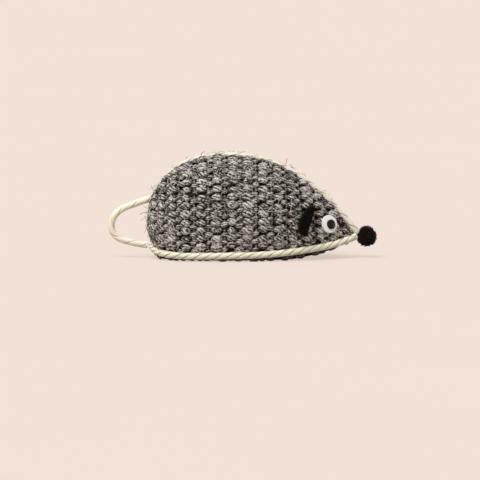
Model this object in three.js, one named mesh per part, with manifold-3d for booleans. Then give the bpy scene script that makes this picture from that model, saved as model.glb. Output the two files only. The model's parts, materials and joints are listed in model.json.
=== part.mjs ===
// A stuffed catnip mouse of woven sisal cloth, with rope along its seams and a rope tail loop.
// Millimetres, +Z up. The snout points along +X, and y = 0 is the mouse's median plane.
// The origin is on the surface that the mouse stands on, in the middle of its length without the tail.
import * as THREE from "three";
import { mergeVertices } from "three/addons/utils/BufferGeometryUtils.js";
import Module from "manifold-3d";

const wasm = await Module();
wasm.setup();

// Side view of the cloth body. Lengths run forward from the rear corner, where the three panels meet.
const BODY_LENGTH = 92.6; // rear corner to the tip of the snout
const BACK_HEIGHT = 45.2; // cloth at the crest of the back
const CREST_FROM_REAR = 34;
const REAR_CORNER_HEIGHT = 5.4;
const SNOUT_HEIGHT = 11;
const REAR_SWELL = 6; // how far the rear wall's curve leans back
const REAR_RISE = 22.6; // how far the rear wall climbs before it turns forward
const BACK_ROUND = 27.5; // rounding behind the crest
const SHOULDER_ROUND = 22; // rounding ahead of the crest
const SNOUT_REACH = 19.4; // length and rise of the snout's slope
const SNOUT_RISE = 23.8;

// Plan view of the base, and its edge.
const BASE_WIDTH = 45.6;
const BASE_EDGE_HEIGHT = 2.7;
const REAR_EDGE_HEIGHT = 2; // the edge runs lower at the base's rear rounding
const REAR_ROUND = 14; // rounding of the base's rear corners
const BASE_REAR_REACH = 22; // straight run of the base's edge behind and ahead of its widest place
const BASE_FRONT_REACH = 24;
const CHEEK_REACH = 15.3; // where the base's edge turns in to the snout
const CHEEK_WIDTH = 11;
const CHEEK_DROP = 6.5;
const SIDE_SWELL = 2.4; // how far a stuffed side stands out past the base's edge
const BELLY_DROP = 3.5; // how far the stuffed base hangs below its edge before the floor flattens it

// Cloth, rope and thread.
const CLOTH = 3;
const ROPE_DIAMETER = 3;
const ROPE_PROUD = 0.4; // height of the rope's middle over the cloth that it beds in
const THREAD_DIAMETER = 0.7;
const GAP = 0.3; // between pieces that touch
const FINE_GAP = 0.12; // between the small pieces of an eye

// The weave has wide columns that stand proud, with a narrow sunk column between each two.
const COLUMN_PITCH = 7.12;
const SUNK_WIDTH = 3;
const SUNK_DEPTH = 1.3;
const SUNK_WALL = 0.5; // length of the slope on each side of a sunk column
const SUNK_FROM_CREST = -0.8; // from the crest's section forward to a sunk column's middle
const COLUMN_LEVEL = 0.3; // the share of the side's height at which the columns are spaced

// The tail leaves the rear seam at two heights and can swing about the line through its two roots.
const TAIL_TOP_HEIGHT = 25.4;

// The pompom at the snout, and its thread.
const POMPOM_DIAMETER = 9.2;
const POMPOM_AHEAD = 3.6; // from the snout's tip to the pompom's middle
const POMPOM_DROP = 1.5;
const NOSE_THREAD_LENGTH = 17;
const KNOT_DIAMETER = 2.4;

// An eye: a white back, a loose pupil and a clear dome.
const EYE_DIAMETER = 8;
const EYE_FROM_TIP = 13.4;
const EYE_HEIGHT = 15.6;
const EYE_BACK = 0.8;
const EYE_RISE = 2.7; // whole height of an eye
const DOME_WALL = 0.45;
const PUPIL_DIAMETER = 4.3;
const PUPIL_THICKNESS = 0.45;
const PUPIL_OFFSET = 0.6; // from the eye's middle, towards the snout and a little down
const PUPIL_ANGLE = THREE.MathUtils.degToRad(-14);

// An ear: a felt flap sewn on along its straight edge.
const EAR_LENGTH = 14.2;
const EAR_DEPTH = 8.8;
const EAR_FELT = 1.2;
const EAR_FROM_TIP = 22; // the middle of the sewn edge
const EAR_HEIGHT = 17;
const EAR_LEAN = THREE.MathUtils.degToRad(19); // the sewn edge's top leans forward
const EAR_LIFT = THREE.MathUtils.degToRad(35); // the flap stands off the cloth, swept back

// The catnip pouch inside the stuffing.
const POUCH_LENGTH = 28;
const POUCH_WIDTH = 19;
const POUCH_THICKNESS = 10;
const POUCH_CLOTH = 0.7;
const POUCH_HEM = 2;
const POUCH_FROM_REAR = 37;
const POUCH_HEIGHT = 20;
const FILLING_HOLE = 6;

// How finely the forms are cut.
const RINGS = 22;
const SIDE_STEPS = 8;
const BASE_STEPS = 6;
const ROPE_SIDES = 8;
const SEAM_STEPS = 22;
const TAIL_STEPS = 24;
const ROUND = 20;

// The snout's tip is sharp, so an inner surface stops this many thicknesses short of it.
const TIP_INSET = 2.2;
const TIP_INSET_RISE = 0.5;

const ropeRadius = ROPE_DIAMETER / 2;
const threadRadius = THREAD_DIAMETER / 2;
const pompomRadius = POMPOM_DIAMETER / 2;
const vec = (x, y, z) => new THREE.Vector3(x, y, z);

// A closed surface as a solid: shared points are merged and its faces turned outwards.
function solidOf(geometry) {
  const bare = geometry.clone();
  bare.deleteAttribute("normal");
  bare.deleteAttribute("uv");
  const merged = mergeVertices(bare, 1e-4);
  const corners = [];
  for (let i = 0; i < merged.index.count; i += 3) {
    const [a, b, c] = [0, 1, 2].map((k) => merged.index.getX(i + k));
    if (a !== b && b !== c && c !== a) corners.push(a, b, c);
  }
  const build = (triVerts) =>
    new wasm.Manifold(
      new wasm.Mesh({ numProp: 3, vertProperties: merged.attributes.position.array, triVerts }),
    );
  const made = build(new Uint32Array(corners));
  return made.volume() > 0 ? made : build(new Uint32Array(corners.reverse()));
}

// The main body of a cut piece, without the crumbs that a cut can leave.
function mainBody(solid) {
  return solid.decompose().sort((a, b) => b.volume() - a.volume())[0];
}

function geometryOf(solid) {
  const { vertProperties, triVerts } = solid.getMesh();
  return new THREE.BufferGeometry()
    .setAttribute("position", new THREE.BufferAttribute(vertProperties, 3))
    .setIndex(new THREE.BufferAttribute(triVerts, 1));
}

// A closed surface through closed rings of points, drawn to a point at both ends.
function loft(start, rings, end) {
  const count = rings[0].length;
  const points = [start, ...rings.flat(), end];
  const faces = [];
  const at = (ring, k) => 1 + ring * count + (k % count);
  for (let k = 0; k < count; k++) {
    faces.push(0, at(0, k + 1), at(0, k));
    for (let ring = 0; ring < rings.length - 1; ring++) {
      faces.push(at(ring, k), at(ring, k + 1), at(ring + 1, k + 1));
      faces.push(at(ring, k), at(ring + 1, k + 1), at(ring + 1, k));
    }
    faces.push(points.length - 1, at(rings.length - 1, k), at(rings.length - 1, k + 1));
  }
  const geometry = new THREE.BufferGeometry().setFromPoints(points);
  geometry.setIndex(faces);
  return solidOf(geometry);
}

// A round tube along a curve, with flat ends.
function tube(curve, radius, steps, sides = ROPE_SIDES) {
  const section = new THREE.Shape();
  for (let k = 0; k < sides; k++) {
    const turn = (2 * Math.PI * k) / sides;
    section[k ? "lineTo" : "moveTo"](radius * Math.cos(turn), radius * Math.sin(turn));
  }
  return solidOf(new THREE.ExtrudeGeometry(section, { steps, extrudePath: curve }));
}

function ball(radius, centre, sides = ROUND) {
  const sphere = new THREE.SphereGeometry(radius, sides, Math.round(sides * 0.6));
  return solidOf(sphere.translate(...centre));
}

function rod(radius, from, to, sides = ROPE_SIDES) {
  return tube(new THREE.LineCurve3(from, to), radius, 1, sides);
}

// A turned piece: the profile's points are (radius, height), and it stands along +Z.
function turned(profile) {
  const points = profile.map(([radius, height]) => new THREE.Vector2(radius, height));
  return new THREE.LatheGeometry(points, ROUND).rotateX(Math.PI / 2);
}

// Points of a quarter arch from (radius, foot) up to (0, top).
function arch(radius, foot, top, steps = 5) {
  return Array.from({ length: steps + 1 }, (_, k) => {
    const turn = (Math.PI / 2) * (k / steps);
    const across = k === steps ? 0 : radius * Math.cos(turn);
    return [across, foot + (top - foot) * Math.sin(turn)];
  });
}

// The two seam lines of the body, or of a surface that lies an even thickness inside it.
// Each runs from the rear corner, u = 0, to the snout's tip, u = 1. The base's is the right-hand edge.
function seamLines(inset) {
  const corner = vec(inset, 0, REAR_CORNER_HEIGHT + inset);
  const tip = vec(BODY_LENGTH - inset * TIP_INSET, 0, SNOUT_HEIGHT + inset * TIP_INSET_RISE);
  const crest = vec(CREST_FROM_REAR, 0, BACK_HEIGHT - inset);
  const widest = vec(CREST_FROM_REAR, inset - BASE_WIDTH / 2, BASE_EDGE_HEIGHT + inset);
  const cheek = vec(-CHEEK_REACH, inset - CHEEK_WIDTH, -CHEEK_DROP);
  const line = (rear, front) => (u) =>
    u < 0.5 ? rear.getPoint(2 * u) : front.getPoint(2 * u - 1);
  const bezier = (...points) => new THREE.CubicBezierCurve3(...points);
  return {
    spine: line(
      bezier(
        corner,
        corner.clone().add(vec(-REAR_SWELL, 0, REAR_RISE)),
        crest.clone().add(vec(inset - BACK_ROUND, 0, 0)),
        crest,
      ),
      bezier(
        crest,
        crest.clone().add(vec(SHOULDER_ROUND - inset, 0, 0)),
        tip.clone().add(vec(-SNOUT_REACH, 0, SNOUT_RISE - inset)),
        tip,
      ),
    ),
    base: line(
      bezier(
        corner,
        vec(corner.x, inset - REAR_ROUND, REAR_EDGE_HEIGHT + inset),
        vec(widest.x + inset - BASE_REAR_REACH, widest.y, REAR_EDGE_HEIGHT + inset),
        widest,
      ),
      bezier(widest, widest.clone().add(vec(BASE_FRONT_REACH - inset, 0, 0)), tip.clone().add(cheek), tip),
    ),
    floor: inset,
  };
}

// A point of the right side, t = 0 at the base's edge and t = 1 at the spine.
function sidePoint(lines, u, t) {
  const low = lines.base(u);
  const high = lines.spine(u);
  const turn = (Math.PI / 2) * t;
  const climb = Math.sin(turn);
  const swell = SIDE_SWELL * ((-2 * low.y) / BASE_WIDTH) * Math.sin(2 * turn);
  return vec(
    THREE.MathUtils.lerp(low.x, high.x, climb),
    low.y * Math.cos(turn) - swell,
    THREE.MathUtils.lerp(low.z, high.z, climb),
  );
}

// A point of the base, s = -1 at its right-hand edge and s = 1 at its left. The floor flattens it.
function basePoint(lines, u, s) {
  const edge = lines.base(u);
  const drop = BELLY_DROP * ((-2 * edge.y) / BASE_WIDTH) * (1 - s * s);
  return vec(edge.x, -edge.y * s, Math.max(lines.floor, edge.z - drop));
}

const outerLines = seamLines(0);
const plainSections = Array.from({ length: RINGS - 1 }, (_, k) => ({ u: (k + 1) / RINGS, sunk: 0 }));

// The way straight out of the right side at a place between its seams.
function sideOut(u, t) {
  const small = 1e-3;
  const point = sidePoint(outerLines, u, t);
  const forward = sidePoint(outerLines, u + small, t).sub(point);
  const upward = sidePoint(outerLines, u, t + small).sub(point);
  const out = forward.cross(upward).normalize();
  return out.y < 0 ? out : out.negate();
}

// The body's sections at the walls of the sunk columns, which are evenly spaced along the side.
function columnSections() {
  const plan = [];
  for (let k = 0; k <= 2 * RINGS; k++) {
    plan.push(sidePoint(outerLines, k / (2 * RINGS), COLUMN_LEVEL).setZ(0));
  }
  const line = new THREE.CatmullRomCurve3(plan);
  const crestWay = new THREE.CatmullRomCurve3(plan.slice(0, RINGS + 1)).getLength();
  const section = (way, sunk) => ({ u: line.getUtoTmapping(0, way), sunk });
  const half = SUNK_WIDTH / 2;
  const length = line.getLength();
  let way = COLUMN_PITCH + ((crestWay + SUNK_FROM_CREST) % COLUMN_PITCH);
  const sections = [section(way / 2, 0)];
  for (; way < length - COLUMN_PITCH; way += COLUMN_PITCH) {
    sections.push(
      section(way - half, 0),
      section(way - half + SUNK_WALL, SUNK_DEPTH),
      section(way + half - SUNK_WALL, SUNK_DEPTH),
      section(way + half, 0),
    );
  }
  sections.push(section((way - COLUMN_PITCH + length) / 2, 0));
  return sections;
}

// The body, or a surface inside it, through sections whose sides may lie sunk between their seams.
function bodySolid(inset, sections = plainSections) {
  const lines = seamLines(inset);
  const mirrored = (p) => vec(p.x, -p.y, p.z);
  const rings = sections.map(({ u, sunk }) => {
    const right = [];
    for (let k = 0; k <= SIDE_STEPS; k++) {
      const point = sidePoint(lines, u, k / SIDE_STEPS);
      const seam = k === 0 || k === SIDE_STEPS;
      right.push(seam ? point : point.addScaledVector(sideOut(u, k / SIDE_STEPS), -sunk));
    }
    const left = right.slice(0, -1).reverse().map(mirrored);
    const under = [];
    for (let k = 1; k < BASE_STEPS; k++) under.push(basePoint(lines, u, 1 - (2 * k) / BASE_STEPS));
    return [...right, ...left, ...under];
  });
  return loft(lines.spine(0), rings, lines.spine(1));
}

// The middle of the stuffing, which the seams face away from.
const heart = vec(CREST_FROM_REAR + SHOULDER_ROUND / 2, 0, BACK_HEIGHT * 0.4);

// A rope's or thread's line: a seam moved straight away from the heart by so much.
function besideSeam(line, from, to, away) {
  const points = [];
  const small = 1e-3;
  for (let k = 0; k <= SEAM_STEPS; k++) {
    const u = THREE.MathUtils.lerp(from, to, k / SEAM_STEPS);
    const point = line(u);
    const along = line(Math.min(1, u + small)).sub(line(Math.max(0, u - small))).normalize();
    const out = point.clone().sub(heart);
    out.addScaledVector(along, -out.dot(along)).normalize();
    points.push(point.addScaledVector(out, away));
  }
  return new THREE.CatmullRomCurve3(points);
}

// The value of u, between two ends, where a rising test first holds.
function firstWhere(test, from, to) {
  let [low, high] = [from, to];
  for (let k = 0; k < 40; k++) {
    const middle = (low + high) / 2;
    if (test(middle)) high = middle;
    else low = middle;
  }
  return high;
}

// The pompom sits against the snout.
const tip = outerLines.spine(1);
const pompomCentre = tip.clone().add(vec(POMPOM_AHEAD, 0, -POMPOM_DROP));
const pompomRoom = ball(pompomRadius + GAP, pompomCentre);

// Everything on the right of the median plane, short of it by half a gap.
const rightHalf = solidOf(
  new THREE.BoxGeometry(4 * BODY_LENGTH, 4 * BASE_WIDTH, 4 * BACK_HEIGHT).translate(
    0,
    -2 * BASE_WIDTH - GAP / 2,
    0,
  ),
);
const mirrorY = (solid) => solidOf(geometryOf(solid).scale(1, -1, 1));

// The ropes run to the snout's tip, where the pompom stops them. The base's two butt together at both ends,
// and the spine's starts above the tail's root.
const ROPE_END = 0.985;
const tailLeaves = firstWhere((u) => outerLines.spine(u).z > TAIL_TOP_HEIGHT + ROPE_DIAMETER, 0, 0.5);
const spineTube = (radius, spare) =>
  tube(besideSeam(outerLines.spine, tailLeaves - spare, ROPE_END, ROPE_PROUD), radius, SEAM_STEPS);
const baseTube = (radius) =>
  tube(besideSeam(outerLines.base, 0, ROPE_END, ROPE_PROUD), radius, SEAM_STEPS);
const baseBed = baseTube(ropeRadius + GAP);
const bothBeds = baseBed.add(mirrorY(baseBed));
const baseRope = mainBody(baseTube(ropeRadius).intersect(rightHalf).subtract(pompomRoom));
const spineRope = mainBody(spineTube(ropeRadius, 0).subtract(pompomRoom).subtract(bothBeds));

// The thread that holds the pompom runs from its middle to a knot inside the stuffing.
const threadBack = heart.clone().sub(pompomCentre).normalize();
const knotCentre = pompomCentre.clone().addScaledVector(threadBack, NOSE_THREAD_LENGTH);
const noseThread = rod(threadRadius, pompomCentre, knotCentre).add(ball(KNOT_DIAMETER / 2, knotCentre, 10));
const noseThreadRoom = rod(
  threadRadius + GAP,
  pompomCentre.clone().addScaledVector(threadBack, -GAP),
  knotCentre,
).add(ball(KNOT_DIAMETER / 2 + GAP, knotCentre, 10));

// The cloth is one skin, cut along its seams into two sides and a base.
const skin = bodySolid(0, columnSections())
  .subtract(bodySolid(CLOTH))
  .subtract(spineTube(ropeRadius + GAP, 0.01))
  .subtract(bothBeds)
  .subtract(pompomRoom)
  .subtract(noseThreadRoom);

// Everything below the cone from the heart to the base's edge, all lifted by so much.
function belowBase(lift) {
  const edge = [];
  const reach = 0.4;
  const up = (p) => p.clone().setZ(p.z + lift);
  for (let k = 0; k <= SEAM_STEPS; k++) edge.push(outerLines.base(k / SEAM_STEPS));
  for (let k = SEAM_STEPS - 1; k > 0; k--) edge.push(edge[k].clone().setY(-edge[k].y));
  const outside = edge.map((p) => p.clone().lerp(heart, -reach));
  const under = outside.map((p) => p.clone().setZ(-BACK_HEIGHT));
  return loft(up(heart), [outside.map(up), under], heart.clone().setZ(-BACK_HEIGHT));
}

const sidePanel = mainBody(skin.subtract(belowBase(GAP)).intersect(rightHalf));
const basePanel = mainBody(skin.intersect(belowBase(0)));

// The seams' thread lies inside the cloth, along each seam.
const threadLines = seamLines(CLOTH + GAP + threadRadius);
const threadEnds = [0.06, 0.94];
const seamThread = (line, radius) =>
  tube(besideSeam(line, ...threadEnds, 0), radius, SEAM_STEPS, 6);
const spineThread = seamThread(threadLines.spine, threadRadius);
const baseThread = seamThread(threadLines.base, threadRadius);
const baseThreadRoom = seamThread(threadLines.base, threadRadius + GAP);

// The catnip pouch: two domed sheets with a flat hem, and the leaf that they hold.
const pouchCentre = vec(POUCH_FROM_REAR, 0, POUCH_HEIGHT);
const pouchPlace = (profile) =>
  turned(profile).scale(1, POUCH_WIDTH / POUCH_LENGTH, 1).translate(...pouchCentre);
const pouchRadius = POUCH_LENGTH / 2 - POUCH_HEM;
const hemTop = GAP / 2 + POUCH_CLOTH;
const down = ([radius, height]) => [radius, -height];
const sheetProfile = [
  ...arch(pouchRadius, hemTop, POUCH_THICKNESS / 2).reverse(),
  [POUCH_LENGTH / 2, hemTop],
  [POUCH_LENGTH / 2, GAP / 2],
  ...arch(pouchRadius - POUCH_CLOTH, GAP / 2, POUCH_THICKNESS / 2 - POUCH_CLOTH),
];
const upperSheet = solidOf(pouchPlace(sheetProfile));
const lowerSheet = solidOf(pouchPlace(sheetProfile.map(down)));

function pouchRoom(grow) {
  const dome = arch(pouchRadius + grow, hemTop + grow, POUCH_THICKNESS / 2 + grow);
  const rim = POUCH_LENGTH / 2 + grow;
  const upper = [...dome].reverse();
  return solidOf(
    pouchPlace([...upper, [rim, hemTop + grow], [rim, -hemTop - grow], ...dome.map(down)]),
  );
}

const leafRadius = pouchRadius - POUCH_CLOTH - 2 * GAP;
const leafTop = POUCH_THICKNESS / 2 - POUCH_CLOTH - GAP;
const leafHalf = arch(leafRadius, 0, leafTop);
const catnip = solidOf(pouchPlace([...[...leafHalf].reverse(), ...leafHalf.slice(1).map(down)]));

// The stuffing fills the cloth. The pouch went in through the hole below it.
const fillingHole = rod(FILLING_HOLE / 2, pouchCentre, pouchCentre.clone().setZ(0), ROUND);
const stuffing = mainBody(
  bodySolid(CLOTH + GAP)
    .subtract(pouchRoom(GAP))
    .subtract(fillingHole)
    .subtract(seamThread(threadLines.spine, threadRadius + GAP))
    .subtract(baseThreadRoom)
    .subtract(mirrorY(baseThreadRoom))
    .subtract(noseThreadRoom),
);

// The place on the right side at a length behind the snout's tip and a height, with the way out of it.
function placeOnSide(fromTip, height) {
  const [x, z] = [BODY_LENGTH - fromTip, height];
  const small = 1e-3;
  let [u, t] = [0.8, 0.4];
  for (let k = 0; k < 30; k++) {
    const p = sidePoint(outerLines, u, t);
    const du = sidePoint(outerLines, u + small, t).sub(p).divideScalar(small);
    const dt = sidePoint(outerLines, u, t + small).sub(p).divideScalar(small);
    const area = du.x * dt.z - du.z * dt.x;
    u += ((x - p.x) * dt.z - (z - p.z) * dt.x) / area;
    t += ((z - p.z) * du.x - (x - p.x) * du.z) / area;
  }
  return { point: sidePoint(outerLines, u, t), out: sideOut(u, t) };
}

// A group at a place on the side: its z points out of the cloth and its x along it, towards the snout.
function seatOnSide(place, standOff) {
  const z = place.out;
  const x = vec(1, 0, 0).addScaledVector(z, -z.x).normalize();
  const seat = new THREE.Group();
  seat.quaternion.setFromRotationMatrix(new THREE.Matrix4().makeBasis(x, z.clone().cross(x), z));
  seat.position.copy(place.point).addScaledVector(z, standOff);
  return seat;
}

const colours = {
  sisal: { color: 0x6f675f, roughness: 0.95 },
  rope: { color: 0xe6dfc0, roughness: 0.8 },
  felt: { color: 0x0d0d0c, roughness: 1 },
  thread: { color: 0xd8d0b8, roughness: 0.7 },
  white: { color: 0xf3f1ee, roughness: 0.3 },
  black: { color: 0x070707, roughness: 0.25 },
  clear: { color: 0xffffff, roughness: 0.05, transparent: true, opacity: 0.2 },
  fibre: { color: 0xf0eeea, roughness: 1 },
  muslin: { color: 0xe9e2d2, roughness: 0.9 },
  leaf: { color: 0x6b7040, roughness: 1 },
};

function piece(name, solid, colour) {
  const material = new THREE.MeshStandardMaterial({ metalness: 0, ...colours[colour] });
  const mesh = new THREE.Mesh(geometryOf(solid), material);
  mesh.name = name;
  return mesh;
}

function eye(side) {
  const seat = seatOnSide(placeOnSide(EYE_FROM_TIP, EYE_HEIGHT), GAP);
  const radius = EYE_DIAMETER / 2;
  const lathed = (profile) => solidOf(turned(profile));
  const back = lathed([
    [0, 0],
    [radius, 0],
    [radius, EYE_BACK],
    [0, EYE_BACK],
  ]);
  const rim = EYE_BACK + FINE_GAP;
  const dome = lathed([
    ...arch(radius, rim, EYE_RISE).reverse(),
    ...arch(radius - DOME_WALL, rim, EYE_RISE - DOME_WALL),
  ]);
  const pupilRadius = PUPIL_DIAMETER / 2;
  const pupil = lathed([
    [0, 0],
    [pupilRadius, 0],
    [pupilRadius, PUPIL_THICKNESS],
    [0, PUPIL_THICKNESS],
  ]);
  const pupilMesh = piece(`${side}_eye_pupil`, pupil, "black");
  pupilMesh.position.set(
    PUPIL_OFFSET * Math.cos(PUPIL_ANGLE),
    PUPIL_OFFSET * Math.sin(PUPIL_ANGLE),
    rim,
  );
  seat.add(piece(`${side}_eye_back`, back, "white"), pupilMesh, piece(`${side}_eye_dome`, dome, "clear"));
  return seat;
}

// The ear turns about its sewn edge, which lies along its own y.
function ear(side) {
  const flap = new THREE.Shape();
  flap.moveTo(0, EAR_LENGTH / 2);
  flap.bezierCurveTo(
    -1.1 * EAR_DEPTH,
    0.45 * EAR_LENGTH,
    -1.5 * EAR_DEPTH,
    -0.82 * EAR_LENGTH,
    0,
    -EAR_LENGTH / 2,
  );
  const felt = solidOf(
    new THREE.ExtrudeGeometry(flap, {
      depth: EAR_FELT,
      bevelEnabled: false,
      curveSegments: 12,
    }).translate(0, 0, -EAR_FELT / 2),
  );
  const seat = seatOnSide(placeOnSide(EAR_FROM_TIP, EAR_HEIGHT), EAR_FELT / 2 + GAP);
  const lean = new THREE.Group();
  lean.rotation.z = -EAR_LEAN;
  const mesh = piece(`${side}_ear`, felt, "felt");
  mesh.rotation.y = EAR_LIFT;
  lean.add(mesh);
  seat.add(lean);
  return seat;
}

// The route of the tail, in the mouse's own frame: x and z of its middle line, from its upper root to its lower.
const TAIL_ROUTE = [
  [-51.5, 25.8],
  [-54.4, 24.9],
  [-57.3, 23.8],
  [-59.8, 22.9],
  [-62.2, 21.8],
  [-64.3, 20.2],
  [-65.9, 18.2],
  [-66.8, 15.9],
  [-66.9, 13.5],
  [-66.2, 11.2],
  [-64.7, 9.4],
  [-62.6, 8.2],
  [-60.2, 7.4],
  [-57.6, 6.8],
  [-55.4, 6.3],
  [-53.4, 6],
].map(([x, z]) => vec(x, 0, z));

// The tail's ends are round, so that they turn in place at its roots.
const tailLoop = tube(new THREE.CatmullRomCurve3(TAIL_ROUTE), ropeRadius, TAIL_STEPS)
  .add(ball(ropeRadius, TAIL_ROUTE[0], 12))
  .add(ball(ropeRadius, TAIL_ROUTE.at(-1), 12));

const body = new THREE.Group();
body.add(
  piece("base_panel", basePanel, "sisal"),
  piece("spine_rope", spineRope.subtract(noseThreadRoom), "rope"),
  piece("spine_seam_thread", spineThread, "thread"),
  piece("nose_pompom", ball(pompomRadius, pompomCentre).subtract(noseThreadRoom), "felt"),
  piece("nose_thread", noseThread, "felt"),
  piece("stuffing", stuffing, "fibre"),
  piece("pouch_upper_sheet", upperSheet, "muslin"),
  piece("pouch_lower_sheet", lowerSheet, "muslin"),
  piece("catnip_fill", catnip, "leaf"),
);
for (const [side, mirror] of [
  ["right", 1],
  ["left", -1],
]) {
  const half = new THREE.Group();
  half.scale.y = mirror;
  half.add(
    piece(`${side}_side_panel`, sidePanel, "sisal"),
    piece(`${side}_base_rope`, baseRope.subtract(noseThreadRoom), "rope"),
    piece(`${side}_base_seam_thread`, baseThread, "thread"),
    eye(side),
    ear(side),
  );
  body.add(half);
}

// The body's length without its tail is centred on the origin.
const extent = new THREE.Box3().setFromObject(body, true);
body.position.x = -(extent.min.x + extent.max.x) / 2;

const mouse = new THREE.Group();
mouse.add(body, piece("tail_loop", tailLoop, "rope"));

export default mouse;
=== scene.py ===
"""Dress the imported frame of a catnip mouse: woven sisal cloth, ropes, felt ears, pile nose and eyes."""

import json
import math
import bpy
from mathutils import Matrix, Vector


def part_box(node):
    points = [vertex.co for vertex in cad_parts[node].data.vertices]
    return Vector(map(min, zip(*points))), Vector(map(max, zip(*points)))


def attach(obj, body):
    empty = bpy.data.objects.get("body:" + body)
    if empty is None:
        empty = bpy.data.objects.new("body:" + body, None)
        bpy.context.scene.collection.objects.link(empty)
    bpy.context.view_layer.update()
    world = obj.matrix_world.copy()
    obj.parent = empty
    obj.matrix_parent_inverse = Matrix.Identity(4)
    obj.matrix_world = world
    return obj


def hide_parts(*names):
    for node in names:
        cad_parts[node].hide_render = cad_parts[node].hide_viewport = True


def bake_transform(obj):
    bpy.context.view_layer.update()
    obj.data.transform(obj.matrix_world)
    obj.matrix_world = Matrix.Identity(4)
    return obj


bl_info = {
    "name": "Woven catnip mouse",
    "version": (1, 0, 0),
    "blender": (4, 5, 0),
    "location": "View3D > Sidebar > Mouse",
    "description": "Makes the cloth, ropes, ears, eyes and pompom of a catnip mouse over its frame",
    "category": "Object",
}

from types import SimpleNamespace

import bmesh
import bpy
import numpy as np
from bpy.props import FloatProperty, FloatVectorProperty, IntProperty, PointerProperty
from mathutils import Matrix, Vector
from mathutils.bvhtree import BVHTree

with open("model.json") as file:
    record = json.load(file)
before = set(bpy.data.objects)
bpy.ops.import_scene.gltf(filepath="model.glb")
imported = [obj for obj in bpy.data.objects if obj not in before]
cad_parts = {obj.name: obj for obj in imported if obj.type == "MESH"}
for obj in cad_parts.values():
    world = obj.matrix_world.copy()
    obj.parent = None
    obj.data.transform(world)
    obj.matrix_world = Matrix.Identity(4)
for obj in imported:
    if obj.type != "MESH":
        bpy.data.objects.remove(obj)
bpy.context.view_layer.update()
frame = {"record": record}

# Named lengths are in millimetres; settings, and what Blender is given, are in metres.
MM = 0.001
PER_MM = 1000.0
HALF_TURN = math.pi
SIDES = {"right": -1, "left": 1}
MIRROR = (1, -1, 1)


def srgb(red, green, blue):
    """Turn a colour as seen on a screen, 0 to 255, into the linear colour that a shader takes."""

    def linear(value):
        value /= 255
        return value / 12.92 if value <= 0.04045 else ((value + 0.055) / 1.055) ** 2.4

    return (linear(red), linear(green), linear(blue), 1.0)


def toned(base, factor):
    """A colour made darker or lighter."""
    return tuple(min(1.0, factor * part) for part in base[:3]) + (1.0,)


def size(name, description, millimetres):
    """A length that a user may change, kept in metres."""
    return FloatProperty(
        name=name, description=description, default=millimetres * MM, unit="LENGTH", precision=5
    )


def share(name, description, value, highest):
    """A plain number from zero up that a user may change."""
    return FloatProperty(name=name, description=description, default=value, min=0, max=highest)


def colour(name, description, *value):
    """A colour that a user may change."""
    return FloatVectorProperty(
        name=name, description=description, default=srgb(*value), subtype="COLOR", size=4, min=0, max=1
    )


class BodySizes(bpy.types.PropertyGroup):
    """The stuffed body, measured forward from the rear corner where the three panels meet."""

    body_length: size("Body length", "Rear corner to the tip of the snout", 92.6)
    back_height: size("Back height", "Floor to the top of the back", 45.2)
    crest: size("Crest", "Rear corner to the top of the back", 34)
    corner_height: size("Corner height", "Height of the rear corner", 5.4)
    snout_height: size("Snout height", "Height of the snout's tip", 11)
    rear_swell: size("Rear swell", "How far the rear wall's curve leans back", 6)
    rear_rise: size("Rear rise", "How far the rear wall climbs before it turns forward", 22.6)
    back_round: size("Back round", "Reach of the back's curve behind the crest", 27.5)
    shoulder_round: size("Shoulder round", "Reach of the back's curve ahead of the crest", 22)
    snout_reach: size("Snout reach", "How far back the snout's upper curve starts", 19.4)
    snout_rise: size("Snout rise", "How high the snout's upper curve starts", 23.8)
    base_width: size("Base width", "Widest place of the base", 45.6)
    edge_height: size("Edge height", "Height of the base's edge at its widest place", 2.7)
    rear_edge_height: size("Rear edge height", "Height of the base's edge at its rear rounding", 2)
    rear_round: size("Rear round", "Rounding of the base's rear corners", 14)
    base_rear_reach: size("Base rear reach", "Run of the base's edge behind its widest place", 22)
    base_front_reach: size("Base front reach", "Run of the base's edge ahead of its widest place", 24)
    cheek_reach: size("Cheek reach", "How far back the cheek's curve starts", 15.3)
    cheek_width: size("Cheek width", "Half width of the cheek's curve", 11)
    cheek_drop: size("Cheek drop", "How far below the tip the cheek's curve starts", 6.5)
    side_swell: size("Side swell", "How far the stuffing swells the sides", 2.4)
    belly_drop: size("Belly drop", "How far the stuffing swells the base", 3.5)


class ClothLook(bpy.types.PropertyGroup):
    """The coarse woven sisal cloth."""

    column_pitch: size("Column pitch", "Distance between two columns of fat floats", 7.12)
    row_pitch: size("Row pitch", "Distance between two weft yarns", 1.84)
    float_length: size("Float length", "Length of a fat float", 5.1)
    float_height: size("Float height", "Height of a fat float on the cloth", 3.6)
    leaf_length: size("Leaf length", "Length of a small float in a narrow column", 4.1)
    leaf_height: size("Leaf height", "Height of a small float", 2.2)
    warp_width: size("Warp width", "Thickness of the thin upright yarns", 0.8)
    proud: size("Proud", "How far the yarns stand out from the body's face", 0.45)
    puff: size("Puff", "How far the cloth swells beside the spine's rope", 1.2)
    # This dark fibre colour also tints the dark shell between the yarns, which is painted shade.
    dark: colour("Dark fibre", "Colour in the gaps between the yarns", 35, 26, 16)
    middle: colour("Fibre", "Main colour of the yarn", 124, 116, 107)
    pale: colour("Pale fibre", "Colour of the palest fibres", 214, 209, 203)
    olive: colour("Tinted fibre", "Colour of the yarn's slight yellow-green tint", 124, 124, 108)
    hair_density: IntProperty(
        name="Loose fibres", description="Loose fibres per square centimetre", default=220, min=0
    )
    hair_length: size("Loose fibre length", "Usual length of a loose fibre", 3.0)
    hair_radius: size("Loose fibre radius", "Half thickness of a loose fibre", 0.085)


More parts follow.
